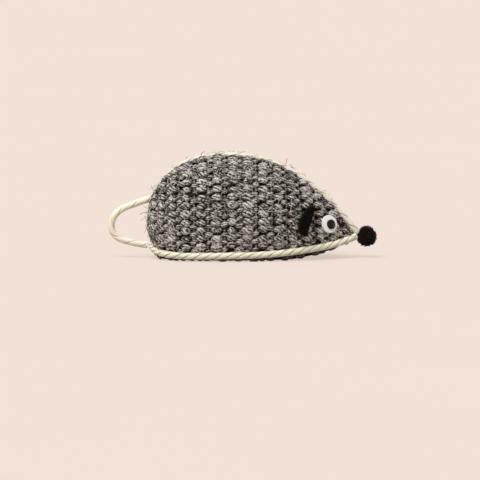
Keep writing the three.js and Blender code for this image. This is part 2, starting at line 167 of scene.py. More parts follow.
class RopeLook(bpy.types.PropertyGroup):
    """The rope of the seams and the tail."""

    diameter: size("Diameter", "Thickness of the rope", 3)
    lay: size("Lay", "Length in which a strand goes round once", 14)
    proud: size("Proud", "How far the rope's middle stands out from its seam", 0.4)
    groove: share("Groove", "Depth of the groove between the strands", 0.22, 0.5)
    pale: colour("Pale strand", "Main colour of the base's ropes", 240, 237, 217)
    spine_pale: colour("Spine strand", "Main colour of the spine's rope", 236, 227, 208)
    straw: colour("Straw", "Darker streaks along the strands", 220, 217, 180)
    # The groove colours are painted shade in the grooves between the strands.
    groove_shade: colour("Groove colour", "Colour in the grooves of the base's ropes", 150, 140, 108)
    spine_groove_shade: colour("Spine groove", "Colour in the grooves of the spine's rope", 96, 86, 60)
    # The tail's colours are the rope's cream made paler than the base ropes': painted light for the brighter
    # light on the loop.
    tail_pale: colour("Tail strand", "Main colour of the bleached tail", 249, 241, 221)
    tail_straw: colour("Tail straw", "Darker streaks along the tail", 243, 232, 208)
    tail_groove_shade: colour("Tail groove", "Colour in the tail's grooves", 212, 197, 168)


class TrimLook(bpy.types.PropertyGroup):
    """The ears, the eyes and the pompom."""

    felt: colour("Felt", "Colour of the ears", 15, 15, 14)
    pile: colour("Pile", "Colour of the pompom", 35, 32, 26)
    pile_length: size("Pile length", "Length of the pompom's fibres", 1.5)
    eye_white: colour("Eye white", "Colour of the eyes' backs", 255, 252, 250)
    eye_black: colour("Eye black", "Colour of the pupils", 14, 15, 12)
    dome_wall: size("Dome wall", "Thickness of the clear domes", 0.45)


class StageLook(bpy.types.PropertyGroup):
    """The floor, the lights and the camera."""

    floor: colour("Floor", "Colour of the floor and of the backdrop", 241, 224, 214)
    view_width: size("View width", "Width of the picture at the object", 214.12)
    view_x: size("View middle", "Place along the object at the middle of the picture", -9.59)
    view_z: size("View height", "Height at the middle of the picture", 7.85)
    camera_distance: size("Camera distance", "Camera to the middle of the picture", 2600)
    shadow_lift: share("Shadow lift", "How much the floor's shadows are lightened", 0.72, 1)
    elevation: FloatProperty(
        name="Elevation", description="Height angle of the camera", default=math.radians(5), subtype="ANGLE"
    )


def link_piece(name, data):
    """Put a new object in the scene."""
    piece = bpy.data.objects.new(name, data)
    bpy.context.scene.collection.objects.link(piece)
    return piece


def mesh_piece(name, points, faces, material):
    """Make a smooth mesh object from points in millimetres."""
    mesh = bpy.data.meshes.new(name)
    mesh.from_pydata((np.asarray(points) * MM).tolist(), [], faces)
    mesh.update()
    mesh.polygons.foreach_set("use_smooth", [True] * len(mesh.polygons))
    mesh.materials.append(material)
    return link_piece(name, mesh)


def feed(tree, socket, value):
    """Give a socket another node's output, or a value of its own."""
    if isinstance(value, bpy.types.NodeSocket):
        tree.links.new(value, socket)
    else:
        socket.default_value = value


def socket_of(sockets, key):
    """Find a node's socket by its place, or by its name among those in use."""
    if isinstance(key, int):
        return sockets[key]
    found = [s for s in sockets if s.name == key and s.enabled]
    if not found:
        raise RuntimeError(f"no socket {key}")
    return found[0]


def put(tree, kind, inputs=None, **settings):
    """Add a node with its settings; each input is a value or another node's output."""
    node = tree.nodes.new(kind)
    for name, value in settings.items():
        setattr(node, name, value)
    for key, value in (inputs or {}).items():
        feed(tree, socket_of(node.inputs, key), value)
    return node


def made(tree, kind, inputs=None, key=0, **settings):
    """Add a node and return one of its outputs."""
    return put(tree, kind, inputs, **settings).outputs[key]


def maths(tree, operation, *values):
    """Add a Math node and return its result."""
    return made(tree, "ShaderNodeMath", dict(enumerate(values)), operation=operation)


def times(tree, first, second):
    """Multiply two numbers."""
    return maths(tree, "MULTIPLY", first, second)


def plus(tree, first, second):
    """Add two numbers."""
    return maths(tree, "ADD", first, second)


def fit(tree, value, factor, offset):
    """Multiply a number and add another."""
    return maths(tree, "MULTIPLY_ADD", value, factor, offset)


def vector_of(tree, *parts):
    """Join three numbers into a vector."""
    return made(tree, "ShaderNodeCombineXYZ", dict(enumerate(parts)))


def ramp(tree, factor, stops):
    """Add a Color Ramp with the given places and colours."""
    node = put(tree, "ShaderNodeValToRGB", {"Fac": factor})
    elements = node.color_ramp.elements
    while len(elements) < len(stops):
        elements.new(0.5)
    for element, (place, value) in zip(elements, stops):
        element.position = place
        element.color = value
    return node.outputs["Color"]


def mix_colour(tree, factor, first, second, blend="MIX"):
    """Mix two colours; the numbers are the places of the node's colour sockets."""
    inputs = {0: factor, 6: first, 7: second}
    return made(tree, "ShaderNodeMix", inputs, 2, data_type="RGBA", blend_type=blend)


def new_material(name, roughness, specular):
    """Start a material; return it with its tree and its main shader."""
    material = bpy.data.materials.new(name)
    material.use_nodes = True
    tree = material.node_tree
    shader = tree.nodes["Principled BSDF"]
    shader.inputs["Roughness"].default_value = roughness
    shader.inputs["Specular IOR Level"].default_value = specular
    return material, tree, shader


def noise(tree, vector, scale, detail=3.0, roughness=0.55):
    """Add a noise and return its strength."""
    inputs = {"Vector": vector, "Scale": scale, "Detail": detail, "Roughness": roughness}
    return made(tree, "ShaderNodeTexNoise", inputs, "Fac")


def attribute(tree, name):
    """Read one number kept on the mesh."""
    return made(tree, "ShaderNodeAttribute", None, "Fac", attribute_name=name)


def paint(tree, shader, value):
    """Give a shader its colour."""
    tree.links.new(value, shader.inputs["Base Color"])


def add_bump(tree, shader, height, distance, strength=1.0):
    """Give a shader a bump of that height in metres."""
    inputs = {"Height": height, "Distance": distance, "Strength": strength}
    tree.links.new(made(tree, "ShaderNodeBump", inputs), shader.inputs["Normal"])


def object_place(tree, scale):
    """Return the place on the object, scaled."""
    place = made(tree, "ShaderNodeTexCoord", None, "Object")
    return made(tree, "ShaderNodeVectorMath", {0: place, 1: (scale,) * 3}, operation="MULTIPLY")


def grained_material(name, finish, grain, tones, bump=None):
    """Two tones in a grain.

    finish is the roughness and the specular level, grain the grain's cells in a metre and the noise's
    scale, detail and roughness, tones a ramp's places and colours, bump its height in metres and strength.
    """
    material, tree, shader = new_material(name, *finish)
    cells, *settings = grain
    speck = noise(tree, object_place(tree, cells), *settings)
    paint(tree, shader, ramp(tree, speck, tones))
    if bump:
        add_bump(tree, shader, speck, *bump)
    return material


YARN_LAYERS = ("along", "around", "tone", "deep", "seed")
# The yarn's look: each pair is a factor and an offset.
YARN_TWIST = (0.4, 0.05)
STREAKS_ALONG = 0.42
STREAKS_AROUND = 9.0
SEED_SPREAD = 40.0
YARN_PLIES = 6.0
PLY_WAVER = 1.4
STREAK_LIFT = 1.4
TONE_LIFT = (0.06, -0.2)
FLECK_LIFT = (1.2, -0.6)
PLY_LIFT = (0.4, -0.24)
PLY_BUMP = 0.6
TINT = 0.75
# Painted shade: the colour mixed into the yarns where they sink under the cloth's face.
PAINTED_HOLLOW_SHADE = srgb(28, 18, 8)


def sisal_material(cloth):
    """Yarn of long stiff fibres: streaks along it, each float its own tone, and painted shade on the yarns'
    sunk parts between the floats.
    """
    material, tree, shader = new_material("sisal_yarn", 0.6, 0.4)
    along, around, tone, deep, seed = (attribute(tree, name) for name in YARN_LAYERS)
    twist = times(tree, along, fit(tree, seed, *YARN_TWIST))
    wound = fit(tree, around, STREAKS_AROUND, twist)
    lines = vector_of(tree, times(tree, along, STREAKS_ALONG), wound, times(tree, seed, SEED_SPREAD))
    streak = noise(tree, lines, 1.0, 3.0, 0.7)
    fleck = noise(tree, object_place(tree, PER_MM), 0.95, 2.0, 0.6)
    turn = plus(tree, fit(tree, around, YARN_PLIES, twist), times(tree, streak, PLY_WAVER))
    ply = maths(tree, "ABSOLUTE", maths(tree, "SINE", times(tree, turn, HALF_TURN)))
    lift = fit(tree, streak, STREAK_LIFT, fit(tree, tone, *TONE_LIFT))
    lift = plus(tree, lift, fit(tree, fleck, *FLECK_LIFT))
    # The ply term darkens the grooves between the plies: painted shade.
    lift = plus(tree, lift, fit(tree, ply, *PLY_LIFT))
    fibre = ramp(tree, lift, [(0.37, cloth.dark), (0.49, cloth.middle), (0.61, cloth.pale)])
    tint = times(tree, noise(tree, object_place(tree, PER_MM), 0.11, 2.0), TINT)
    fibre = mix_colour(tree, tint, fibre, cloth.olive, "SOFT_LIGHT")
    # Painted shade: the deeper a point lies, the more of the hollow shade colour it takes.
    limits = {"Value": deep, "From Min": 0.18, "From Max": 0.95, "To Min": 0.0, "To Max": 0.78}
    shade = made(tree, "ShaderNodeMapRange", limits)
    paint(tree, shader, mix_colour(tree, shade, fibre, PAINTED_HOLLOW_SHADE))
    add_bump(tree, shader, fit(tree, ply, PLY_BUMP, streak), 0.45 * MM)
    return material


def shade_shell_material(cloth):
    """Painted shade: a dark colour for the shell under the yarns, standing in for the shade seen between
    them.
    """
    tones = [(0.35, toned(cloth.dark, 0.6)), (0.75, toned(cloth.dark, 1.8))]
    return grained_material("sisal_shade_shell", (0.95, 0.1), (PER_MM, 1.4, 4.0, 0.6), tones, (0.3 * MM,))


MOTTLE_LIFT = (0.3, -0.15)


def fibre_material(cloth):
    """Loose sisal fibres, pale to brown."""
    material, tree, shader = new_material("sisal_fibre", 0.6, 0.3)
    mottle = noise(tree, object_place(tree, PER_MM), 0.8)
    tone = plus(tree, attribute(tree, "tone"), fit(tree, mottle, *MOTTLE_LIFT))
    paint(tree, shader, ramp(tree, tone, [(0.0, cloth.dark), (0.12, cloth.middle), (0.4, cloth.pale)]))
    return material


# The rope's look: each pair is a factor and an offset.
ROPE_STREAKS_ALONG = 0.16
ROPE_STREAKS_AROUND = 26.0
BLOTCH_LIFT = (0.5, -0.25)
GROOVE_SHADE_SPREAD = (2.4, -0.5)
DEEPEST_GROOVE = 0.95


def rope_material(name, pale, straw, groove_shade):
    """Smooth pale strands with fine lengthwise streaks, and painted shade darkening the grooves."""
    material, tree, shader = new_material(name, 0.62, 0.3)
    along, around, groove = (attribute(tree, key) for key in ("along", "around", "groove"))
    wound = times(tree, around, ROPE_STREAKS_AROUND)
    streak = noise(tree, vector_of(tree, times(tree, along, ROPE_STREAKS_ALONG), wound, 0.0), 1.0, 4.0, 0.6)
    blotch = noise(tree, vector_of(tree, along, 3.0, 0.0), 0.12, 2.0)
    strand = ramp(tree, plus(tree, streak, fit(tree, blotch, *BLOTCH_LIFT)), [(0.3, straw), (0.56, pale)])
    # Painted shade in the grooves between the strands, made uneven along the rope by a noise.
    groove_shade_spread = fit(tree, noise(tree, vector_of(tree, along, 7.0, 0.0), 0.3, 2.0), *GROOVE_SHADE_SPREAD)
    groove = times(tree, groove, maths(tree, "MINIMUM", groove_shade_spread, DEEPEST_GROOVE))
    paint(tree, shader, mix_colour(tree, groove, strand, groove_shade))
    add_bump(tree, shader, streak, 0.12 * MM, 0.7)
    return material


def soft_black_material(name, base, grain_size):
    """Black felt, pile or thread: matt, with slight colour changes between fibres."""
    tones = [(0.3, toned(base, 0.6)), (0.72, toned(base, 2.6))]
    grain = (1.0 / grain_size, 1.0, 4.0, 0.65)
    return grained_material(name, (0.95, 0.06), grain, tones, (0.15 * MM, 0.7))


def plastic_material(name, base, *finish):
    """Moulded plastic with a faint mottle."""
    tones = [(0.35, toned(base, 0.93)), (0.65, base)]
    return grained_material(name, finish, (PER_MM, 0.8), tones, (0.01 * MM, 0.3))


DOME_IOR = 1.35
DOME_SHINE = 0.14


def clear_material():
    """Thin clear plastic of an eye's dome, seen by its shine alone."""
    tones = [(0.3, (0.97, 0.97, 0.97, 1.0)), (0.7, (1.0, 1.0, 1.0, 1.0))]
    material = grained_material("eye_dome_clear", (0.04, 0.5), (PER_MM, 0.5, 2.0), tones)
    tree = material.node_tree
    shader = tree.nodes["Principled BSDF"]
    shader.inputs["Metallic"].default_value = 1.0
    shine = made(tree, "ShaderNodeFresnel", {"IOR": DOME_IOR})
    tree.links.new(times(tree, shine, DOME_SHINE), shader.inputs["Alpha"])
    return material


def inside_material(name, first, second, grain_size, bump):
    """A soft inner piece: two tones in a fine grain, sized in millimetres."""
    tones = [(0.35, srgb(*first)), (0.65, srgb(*second))]
    grain = (1.0 / (grain_size * MM), 1.0, 5.0, 0.65)
    return grained_material(name, (0.9, 0.2), grain, tones, (bump * MM,))


def unit(vectors):
    """Scale vectors to length one."""
    vectors = np.asarray(vectors, float)
    return vectors / np.maximum(np.linalg.norm(vectors, axis=-1, keepdims=True), 1e-12)


def ease(low, high, value):
    """Rise smoothly from 0 at low to 1 at high, which some named values hold as a pair."""
    part = np.clip((value - low) / (high - low), 0, 1)
    return part * part * (3 - 2 * part)


def bezier(points, t):
    """Points of a cubic curve."""
    a, b, c, d = (np.asarray(p, float) for p in points)
    t = np.asarray(t, float)[..., None]
    s = 1 - t
    return s**3 * a + 3 * s * s * t * b + 3 * s * t * t * c + t**3 * d


def joined_line(rear, front, u):
    """A line of two cubic curves that meet at u = 0.5."""
    u = np.asarray(u, float)
    first = bezier(rear, np.clip(2 * u, 0, 1))
    second = bezier(front, np.clip(2 * u - 1, 0, 1))
    return np.where((u < 0.5)[..., None], first, second)


POMPOM_AHEAD = 3.6
# REAR_TUCK and SNOUT_SAG are lengths; the others are shares of the body's sizes, and the last two powers.
HEART_HEIGHT = 0.4
REAR_TUCK = 1.0
TUCK_REACH = 0.45
SNOUT_SAG = 1.0
SAG_START = 0.65
BELLY_ROUND = 0.6
BELLY_EDGE = 22


class BodyForm:
    """The body's seams and panels in millimetres, in the frame's own place."""

    def __init__(self, body):
        self.mm = m = SimpleNamespace(**{key: getattr(body, key) / MM for key in body.__annotations__})
        low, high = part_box("nose_pompom")
        pompom_middle = (low[0] + high[0]) / 2 / MM
        self.shift = pompom_middle - (m.body_length + POMPOM_AHEAD)
        self.corner = np.array((0, 0, m.corner_height))
        self.tip = np.array((m.body_length, 0, m.snout_height))
        self.crest = np.array((m.crest, 0, m.back_height))
        self.widest = np.array((m.crest, -m.base_width / 2, m.edge_height))
        self.heart = np.array((m.crest + m.shoulder_round / 2, 0, HEART_HEIGHT * m.back_height))

    def place(self, points):
        """Move points from the rear corner's frame to the part's, drawn in a little at both ends."""
        x = np.asarray(points)[..., 0]
        tuck = REAR_TUCK * (1 - ease(0, TUCK_REACH * self.mm.crest, x))
        sag = SNOUT_SAG * ease(SAG_START * self.mm.body_length, self.mm.body_length, x)
        return points + np.stack((self.shift + tuck, 0 * x, -sag), axis=-1)

    def spine(self, u):
        """The top seam, from the rear corner to the snout's tip."""
        m = self.mm
        rear = [
            self.corner,
            self.corner + (-m.rear_swell, 0, m.rear_rise),
            self.crest + (-m.back_round, 0, 0),
            self.crest,
        ]
        front = [
            self.crest,
            self.crest + (m.shoulder_round, 0, 0),
            self.tip + (-m.snout_reach, 0, m.snout_rise),
            self.tip,
        ]
        return joined_line(rear, front, u)

    def base_edge(self, u):
        """The right base seam, from the rear corner to the snout's tip."""
        m = self.mm
        rear = [
            self.corner,
            (0, -m.rear_round, m.rear_edge_height),
            (self.widest[0] - m.base_rear_reach, self.widest[1], m.rear_edge_height),
            self.widest,
        ]
        front = [
            self.widest,
            self.widest + (m.base_front_reach, 0, 0),
            self.tip + (-m.cheek_reach, -m.cheek_width, -m.cheek_drop),
            self.tip,
        ]
        return joined_line(rear, front, u)

    def side(self, u, t):
        """A place on the right side: u runs from rear to snout, t from the base seam to the spine."""
        low, high = self.base_edge(u), self.spine(u)
        a = HALF_TURN / 2 * np.asarray(t, float)
        fullness = -2 * low[..., 1] / self.mm.base_width
        x = low[..., 0] + (high[..., 0] - low[..., 0]) * np.sin(a)
        z = low[..., 2] + (high[..., 2] - low[..., 2]) * np.sin(a)
        y = low[..., 1] * np.cos(a) - self.mm.side_swell * fullness * np.sin(2 * a)
        return np.stack((x, y, z), axis=-1)

    def base(self, u, s, floor, sag):
        """A place on the base: s runs from -1 at the right edge to 1 at the left."""
        edge = self.base_edge(u)
        s = np.asarray(s, float)
        fullness = -2 * edge[..., 1] / self.mm.base_width
        drop = (self.mm.belly_drop + sag) * fullness**BELLY_ROUND * (1 - np.abs(s) ** BELLY_EDGE)
        z = np.maximum(floor, edge[..., 2] - drop)
        return np.stack((edge[..., 0] + 0 * s, -edge[..., 1] * s, z), axis=-1)

    def rope_line(self, line, u, proud):
        """The middle of a rope that lies on a seam, a little out from it."""
        points = line(u)
        step = 1e-4
        tangent = unit(line(np.clip(u + step, 0, 1)) - line(np.clip(u - step, 0, 1)))
        out = points - self.heart
        out = unit(out - (out * tangent).sum(-1, keepdims=True) * tangent)
        return self.place(points + proud * out)


def grid_normals(points):
    """The normals of a grid of points."""
    return unit(np.cross(np.gradient(points, axis=0), np.gradient(points, axis=1)))


def at_way(along, values, place):
    """Read points or normals at a way along a row."""
    return np.stack([np.interp(place, along, values[:, k]) for k in range(3)], axis=-1)


LEVEL_STEP = 0.4
FEWEST_IN_ROW = 8
FEWEST_IN_COLUMN = 6


class ClothSheet:
    """A panel as a grid of points, with the height of each on the cloth."""

    def __init__(self, points, outward, up):
        self.points = points
        normals = grid_normals(points)
        self.normals = normals * np.where((normals * outward).sum(-1, keepdims=True) < 0, -1, 1)
        self.up = up
        self.levels = np.arange(up.min(), up.max(), LEVEL_STEP)
        self.rows = [self.row(np.full(len(points), level)) for level in self.levels]

    def row(self, level):
        """Follow the cloth at a height on it; return grid lines, points, normals and the way along."""
        k = (self.up < level[:, None]).sum(1)
        good = (k > 0) & (k < self.up.shape[1])
        edges = np.flatnonzero(np.diff(np.concatenate(([0], good.astype(int), [0]))))
        if not len(edges):
            return None
        first, last = max(zip(edges[::2], edges[1::2]), key=lambda run: run[1] - run[0])
        i = np.arange(first, last)
        if len(i) < FEWEST_IN_ROW:
            return None
        k = k[i]
        low, high = self.up[i, k - 1], self.up[i, k]
        f = ((level[i] - low) / np.maximum(high - low, 1e-9))[:, None]
        points = self.points[i, k - 1] * (1 - f) + self.points[i, k] * f
        normals = self.normals[i, k - 1] * (1 - f) + self.normals[i, k] * f
        along = np.concatenate(([0], np.cumsum(np.linalg.norm(np.diff(points, axis=0), axis=1))))
        return i, points, normals, along - np.interp(len(self.points) // 2, i, along)

    def column(self, place):
        """Follow the cloth upwards at a way along its rows; return heights, points and normals."""
        found = []
        for level, row in zip(self.levels, self.rows):
            if row is not None and row[3][0] < place < row[3][-1]:
                _, points, normals, along = row
                found.append((level, at_way(along, points, place), at_way(along, normals, place)))
        if len(found) < FEWEST_IN_COLUMN:
            return None
        return [np.array(values) for values in zip(*found)]


# Ways along a panel, 0 at the rear and 1 at the snout: start, end and count.
REAR_WAYS = ((0.003, 0.2, 300), (0.2, 0.5, 140))
FRONT_WAYS = (0.5, 0.997, 440)
SIDE_HEIGHTS = 130
OPEN_SEAM_END = 0.3
OPEN_SEAM_HEIGHT = 26.5
ROPE_ROOM = (0.6, 2.4)
PUFF_PLACE = 3.2
PUFF_WIDTH = 1.6
PUFF_START = (0.55, 0.8)


def side_sheet(form, hand, proud, puff):
    """The right (-1) or left (1) side panel as a cloth sheet."""
    rear = [np.linspace(*run, endpoint=False) for run in REAR_WAYS]
    ways = np.concatenate((*rear, np.linspace(*FRONT_WAYS)))
    u, t = np.meshgrid(ways, np.linspace(0, 1, SIDE_HEIGHTS), indexing="ij")
    points = form.side(u, t)
    step_t = np.diff(points, axis=1)
    normals = grid_normals(points)
    level = np.minimum(1, 2 * normals[:, 1:, 2] ** 2)
    rise = np.sqrt(step_t[..., 2] ** 2 + level * (step_t[..., 0] ** 2 + step_t[..., 1] ** 2))
    up = np.hstack((points[:, :1, 2], points[:, :1, 2] + np.cumsum(rise, axis=1)))
    from_seam = np.abs(points[..., 1])
    open_seam = (u < OPEN_SEAM_END) & (points[..., 2] < OPEN_SEAM_HEIGHT)
    beside_rope = np.where(open_seam, 1.0, ease(*ROPE_ROOM, from_seam))
    shoulder = np.exp(-(((from_seam - PUFF_PLACE) / PUFF_WIDTH) ** 2)) * ease(*PUFF_START, t)
    points = form.place(points + normals * (proud * beside_rope + puff * shoulder)[..., None])
    outward = points - form.place(form.heart)
    if hand > 0:
        points = points * MIRROR
        outward = outward * MIRROR
    return ClothSheet(points, outward, up)


BASE_WAYS = (0.006, 0.994, 421)
BASE_ACROSS = (-0.995, 0.995, 241)
BASE_YARN_ROOM = 0.2
BASE_SAG = 1.2


def base_sheet(form):
    """The base panel as a cloth sheet."""
    u, s = np.meshgrid(np.linspace(*BASE_WAYS), np.linspace(*BASE_ACROSS), indexing="ij")
    points = form.place(form.base(u, s, BASE_YARN_ROOM, BASE_SAG))
    outward = np.broadcast_to((0.0, 0.0, -1.0), points.shape)
    step = np.linalg.norm(np.diff(points, axis=1)[..., 1:], axis=-1)
    up = np.hstack((np.zeros((len(points), 1)), np.cumsum(step, axis=1)))
    return ClothSheet(points, outward, up - up[:, -1:] / 2)


YARN_ANGLES = np.radians(np.concatenate((np.linspace(-105, 105, 9), (140, 180, 220))))
FEWEST_IN_YARN = 4
DEEP_FROM = 0.1
DEEP_SPAN = 1.55
RIM_SHADE = (1.5, 4.0)


class YarnHeap:
    """Yarns gathered into one mesh, with what their material reads."""

    def __init__(self):
        self.points, self.faces = [], []
        self.layers = {key: [] for key in YARN_LAYERS}
        self.count = 0

    def add(self, path, normals, out, half_out, half_across, tone, seed, along):
        """Add one yarn: out is the height of its middle over the cloth's face."""
        if len(path) < FEWEST_IN_YARN:
            return
        tangent = unit(np.gradient(path, axis=0))
        normal = unit(normals - (normals * tangent).sum(-1, keepdims=True) * tangent)
        across = np.cross(normal, tangent)
        n, m = len(path), len(YARN_ANGLES)
        high = out[:, None] + half_out[:, None] * np.cos(YARN_ANGLES)
        wide = half_across[:, None] * np.sin(YARN_ANGLES)
        ring = path[:, None] + high[..., None] * normal[:, None] + wide[..., None] * across[:, None]
        self.points.append(ring.reshape(-1, 3))
        i, k = np.meshgrid(np.arange(n - 1), np.arange(m), indexing="ij")
        a = self.count + i * m + k
        b = self.count + i * m + (k + 1) % m
        self.faces += np.stack((a, a + m, b + m, b), axis=-1).reshape(-1, 4).tolist()
        self.faces.append(list(range(self.count, self.count + m)))
        self.faces.append(list(range(self.count + n * m - 1, self.count + (n - 1) * m - 1, -1)))
        self.layers["along"].append(np.repeat(along, m))
        self.layers["around"].append(np.tile(YARN_ANGLES / (2 * HALF_TURN), n))
        self.layers["tone"].append(np.repeat(tone, m))
        # deep: how far a point lies under the cloth's face, which the yarn's material paints as shade.
        self.layers["deep"].append(np.clip((DEEP_FROM - high) / DEEP_SPAN, 0, 1).ravel())
        self.layers["seed"].append(np.full(n * m, seed))
        self.count += n * m

    def darken(self, edge):
        """Paint shade on the yarns along the base's edge, given as its points in millimetres, where the rope
        above shades them.
        """
        points = np.concatenate(self.points)
        room = np.interp(points[:, 0], edge[:, 0], np.abs(edge[:, 1])) - np.abs(points[:, 1])
        rim = 1 - ease(*RIM_SHADE, room)
        self.layers["deep"] = [np.maximum(np.concatenate(self.layers["deep"]), rim)]

    def piece(self, name, material):
        """Turn the yarns into an object."""
        piece = mesh_piece(name, np.concatenate(self.points), self.faces, material)
        for key, values in self.layers.items():
            layer = piece.data.attributes.new(key, "FLOAT", "POINT")
            layer.data.foreach_set("value", np.asarray(np.concatenate(values), np.float32))
        return piece


PILLOW_ROUND = 1.9
PILLOW_FULL = 0.7


def pillow(distance, half):
    """A rounded swell: one at its middle, falling to zero at half its length."""
    part = np.clip(np.abs(distance) / half, 0, 1)
    return (1 - part**PILLOW_ROUND) ** PILLOW_FULL


def wander(across, level):
    """How the rows and columns of the cloth stray from straight, in millimetres."""
    broad = 0.35 * np.sin(across / 15 + 0.7)
    fine = 0.22 * np.sin(across / 7.3 + level / 11)
    return broad + fine + 0.2 * np.sin(level / 5.1)


# Each kind of float: the yarn between two floats, and how far it swells, rises and leans on one.
FAT_FLOAT = SimpleNamespace(
    thin=0.5, swell=0.6, low=0.55, uneven=0.1, sunk=-1.5, rise=1.6, steep=0.7, lean=0.0, lean_spread=0.09
)
LEAF_FLOAT = SimpleNamespace(
    thin=0.35, swell=0.28, low=0.4, uneven=0.14, sunk=-1.9, rise=1.8, steep=0.8, lean=0.3, lean_spread=0.12
)
FLOAT_KINDS = 64
LENGTH_SPREAD = 0.12
SHOVE_SPREAD = 0.3
RISE_SPREAD = 0.2
COLUMN_STRAY = 0.5
END_SWELL = 0.8
END_REACH = (0.8, 2.2)


class Weft:
    """One weft yarn's floats: where they are, and how each differs from the next."""

    def __init__(self, level, fat, cloth, first_column, rng):
        self.level = level
        self.form = FAT_FLOAT if fat else LEAF_FLOAT
        self.pitch = cloth.column_pitch / MM
        self.start = first_column if fat else first_column + self.pitch / 2
        self.half = (cloth.float_length if fat else cloth.leaf_length) / MM / 2
        self.tall = (cloth.float_height if fat else cloth.leaf_height) / MM / 2
        draws = np.clip(rng.normal(size=(5, FLOAT_KINDS)), -2, 2)
        self.shove, self.grow, self.lift, self.tone, self.slant = draws

    def floats(self, along):
        """Which float each place belongs to, the way from its middle, and how far it has swelled."""
        place = (along - self.start + COLUMN_STRAY * wander(self.level, along)) / self.pitch
        column = np.round(place).astype(int)
        which = column % FLOAT_KINDS
        distance = (place - column) * self.pitch
        return which, distance, pillow(distance, self.half * (1 + LENGTH_SPREAD * self.grow[which]))

    def stray(self, along):
        """How far the yarn strays up or down from its row."""
        which, distance, swell = self.floats(along)
        tilt = self.form.lean + self.form.lean_spread * self.slant[which]
        return wander(along, self.level) + swell * (SHOVE_SPREAD * self.shove[which] + tilt * distance)

    def section(self, along):
        """The yarn's half thickness, half height on the cloth, top and tone."""
        which, _, swell = self.floats(along)
        from_end = np.minimum(along - along[0], along[-1] - along)
        swell = np.maximum(swell, END_SWELL * (1 - ease(*END_REACH, from_end)))
        form = self.form
        thick = form.thin + form.swell * swell
        tall = form.low + (self.tall * (1 + form.uneven * self.grow[which]) - form.low) * swell
        top = form.sunk + (form.rise + RISE_SPREAD * self.lift[which]) * swell**form.steep
        return thick, tall, top, self.tone[which] * swell


WEFT_STEP = 0.36
FEWEST_SAMPLES = 6


def weave(sheet, cloth, first_row, first_column, rng, name, material):
    """Weave the cloth yarn by yarn: weft floats over the wide columns and over the narrow ones in turn."""
    row = cloth.row_pitch / MM
    heap = YarnHeap()
    lowest = math.ceil((sheet.up.min() - first_row) / row)
    highest = math.floor((sheet.up.max() - first_row) / row)
    for index in range(lowest, highest + 1):
        level = np.full(len(sheet.points), first_row + index * row)
        weft = Weft(level[0], index % 2 == 0, cloth, first_column, rng)
        found = sheet.row(level)
        if found is None:
            continue
        level[found[0]] += weft.stray(found[3])
        found = sheet.row(level)
        if found is None:
            continue
        _, points, normals, along = found
        samples = np.arange(along[0], along[-1], WEFT_STEP)
        if len(samples) < FEWEST_SAMPLES:
            continue
        thick, tall, top, tone = weft.section(samples)
        path, facing = at_way(along, points, samples), at_way(along, normals, samples)
        heap.add(path, facing, top - thick, thick, tall, tone, rng.random(), samples)
    add_warps(sheet, cloth, first_row, first_column, rng, heap)
    # The base's yarns take painted shade along the edge under the rope.
    if name == "base_cloth":
        heap.darken(sheet.points[:, -1])
    return heap.piece(name, material)


WARP_COLUMNS = range(-12, 16)
WARP_STRAY = 0.15
WARP_STEP = 0.4
# Under a weft, and the gain over one.
WARP_SWELL = (0.8, 0.35)
WARP_TOP = (-1.5, 1.0)
# The usual tone, and its spread.
WARP_TONE = (0.4, 0.5)


def add_warps(sheet, cloth, first_row, first_column, rng, heap):
    """Thin upright yarns in the narrow columns, over each fat weft and under each small float."""
    pitch, row = cloth.column_pitch / MM, cloth.row_pitch / MM
    radius = cloth.warp_width / MM / 2
    for column in WARP_COLUMNS:
        found = sheet.column(first_column + (column + 0.5) * pitch + rng.normal() * WARP_STRAY)
        if found is None:
            continue
        heights, points, normals = found
        samples = np.arange(heights[0], heights[-1], WARP_STEP)
        path, facing = at_way(heights, points, samples), at_way(heights, normals, samples)
        over = 0.5 + 0.5 * np.cos(HALF_TURN * (samples - first_row) / row)
        thin = radius * (WARP_SWELL[0] + WARP_SWELL[1] * over)
        top = WARP_TOP[0] + WARP_TOP[1] * over
        tone = np.full(len(samples), WARP_TONE[0] + WARP_TONE[1] * rng.normal())
        heap.add(path, facing, top - thin, thin, thin, tone, rng.random(), samples)


def edit_mesh(piece, change):
    """Change a piece's mesh with a function that is given its bmesh."""
    work = bmesh.new()
    work.from_mesh(piece.data)
    change(work)
    work.to_mesh(piece.data)
    work.free()
    piece.data.update()


SAME_PLACE = 0.001


def turn_outward(work):
    """Merge doubles and point the faces of a closed mesh outwards."""
    bmesh.ops.remove_doubles(work, verts=work.verts, dist=SAME_PLACE * MM)
    bmesh.ops.recalc_face_normals(work, faces=work.faces)


# Depths of the dark shell's two faces below the cloth's own; its dark colour is painted shade between the
# yarns.
SHELL_DEPTHS = (1.9, 2.9)
# Near the base's edge the shell comes close to the face, so its painted shade shows under the rope.
BASE_RIM_SHELL = 0.4
SHELL_RIM = (2.4, 6.0)
SHELL_GRID = (70, 28)
# Where the panel is narrow: a least depth, and its growth with the half width.
NARROW_OUTER = (0.25, 0.16)
NARROW_INNER = (0.6, 0.23)


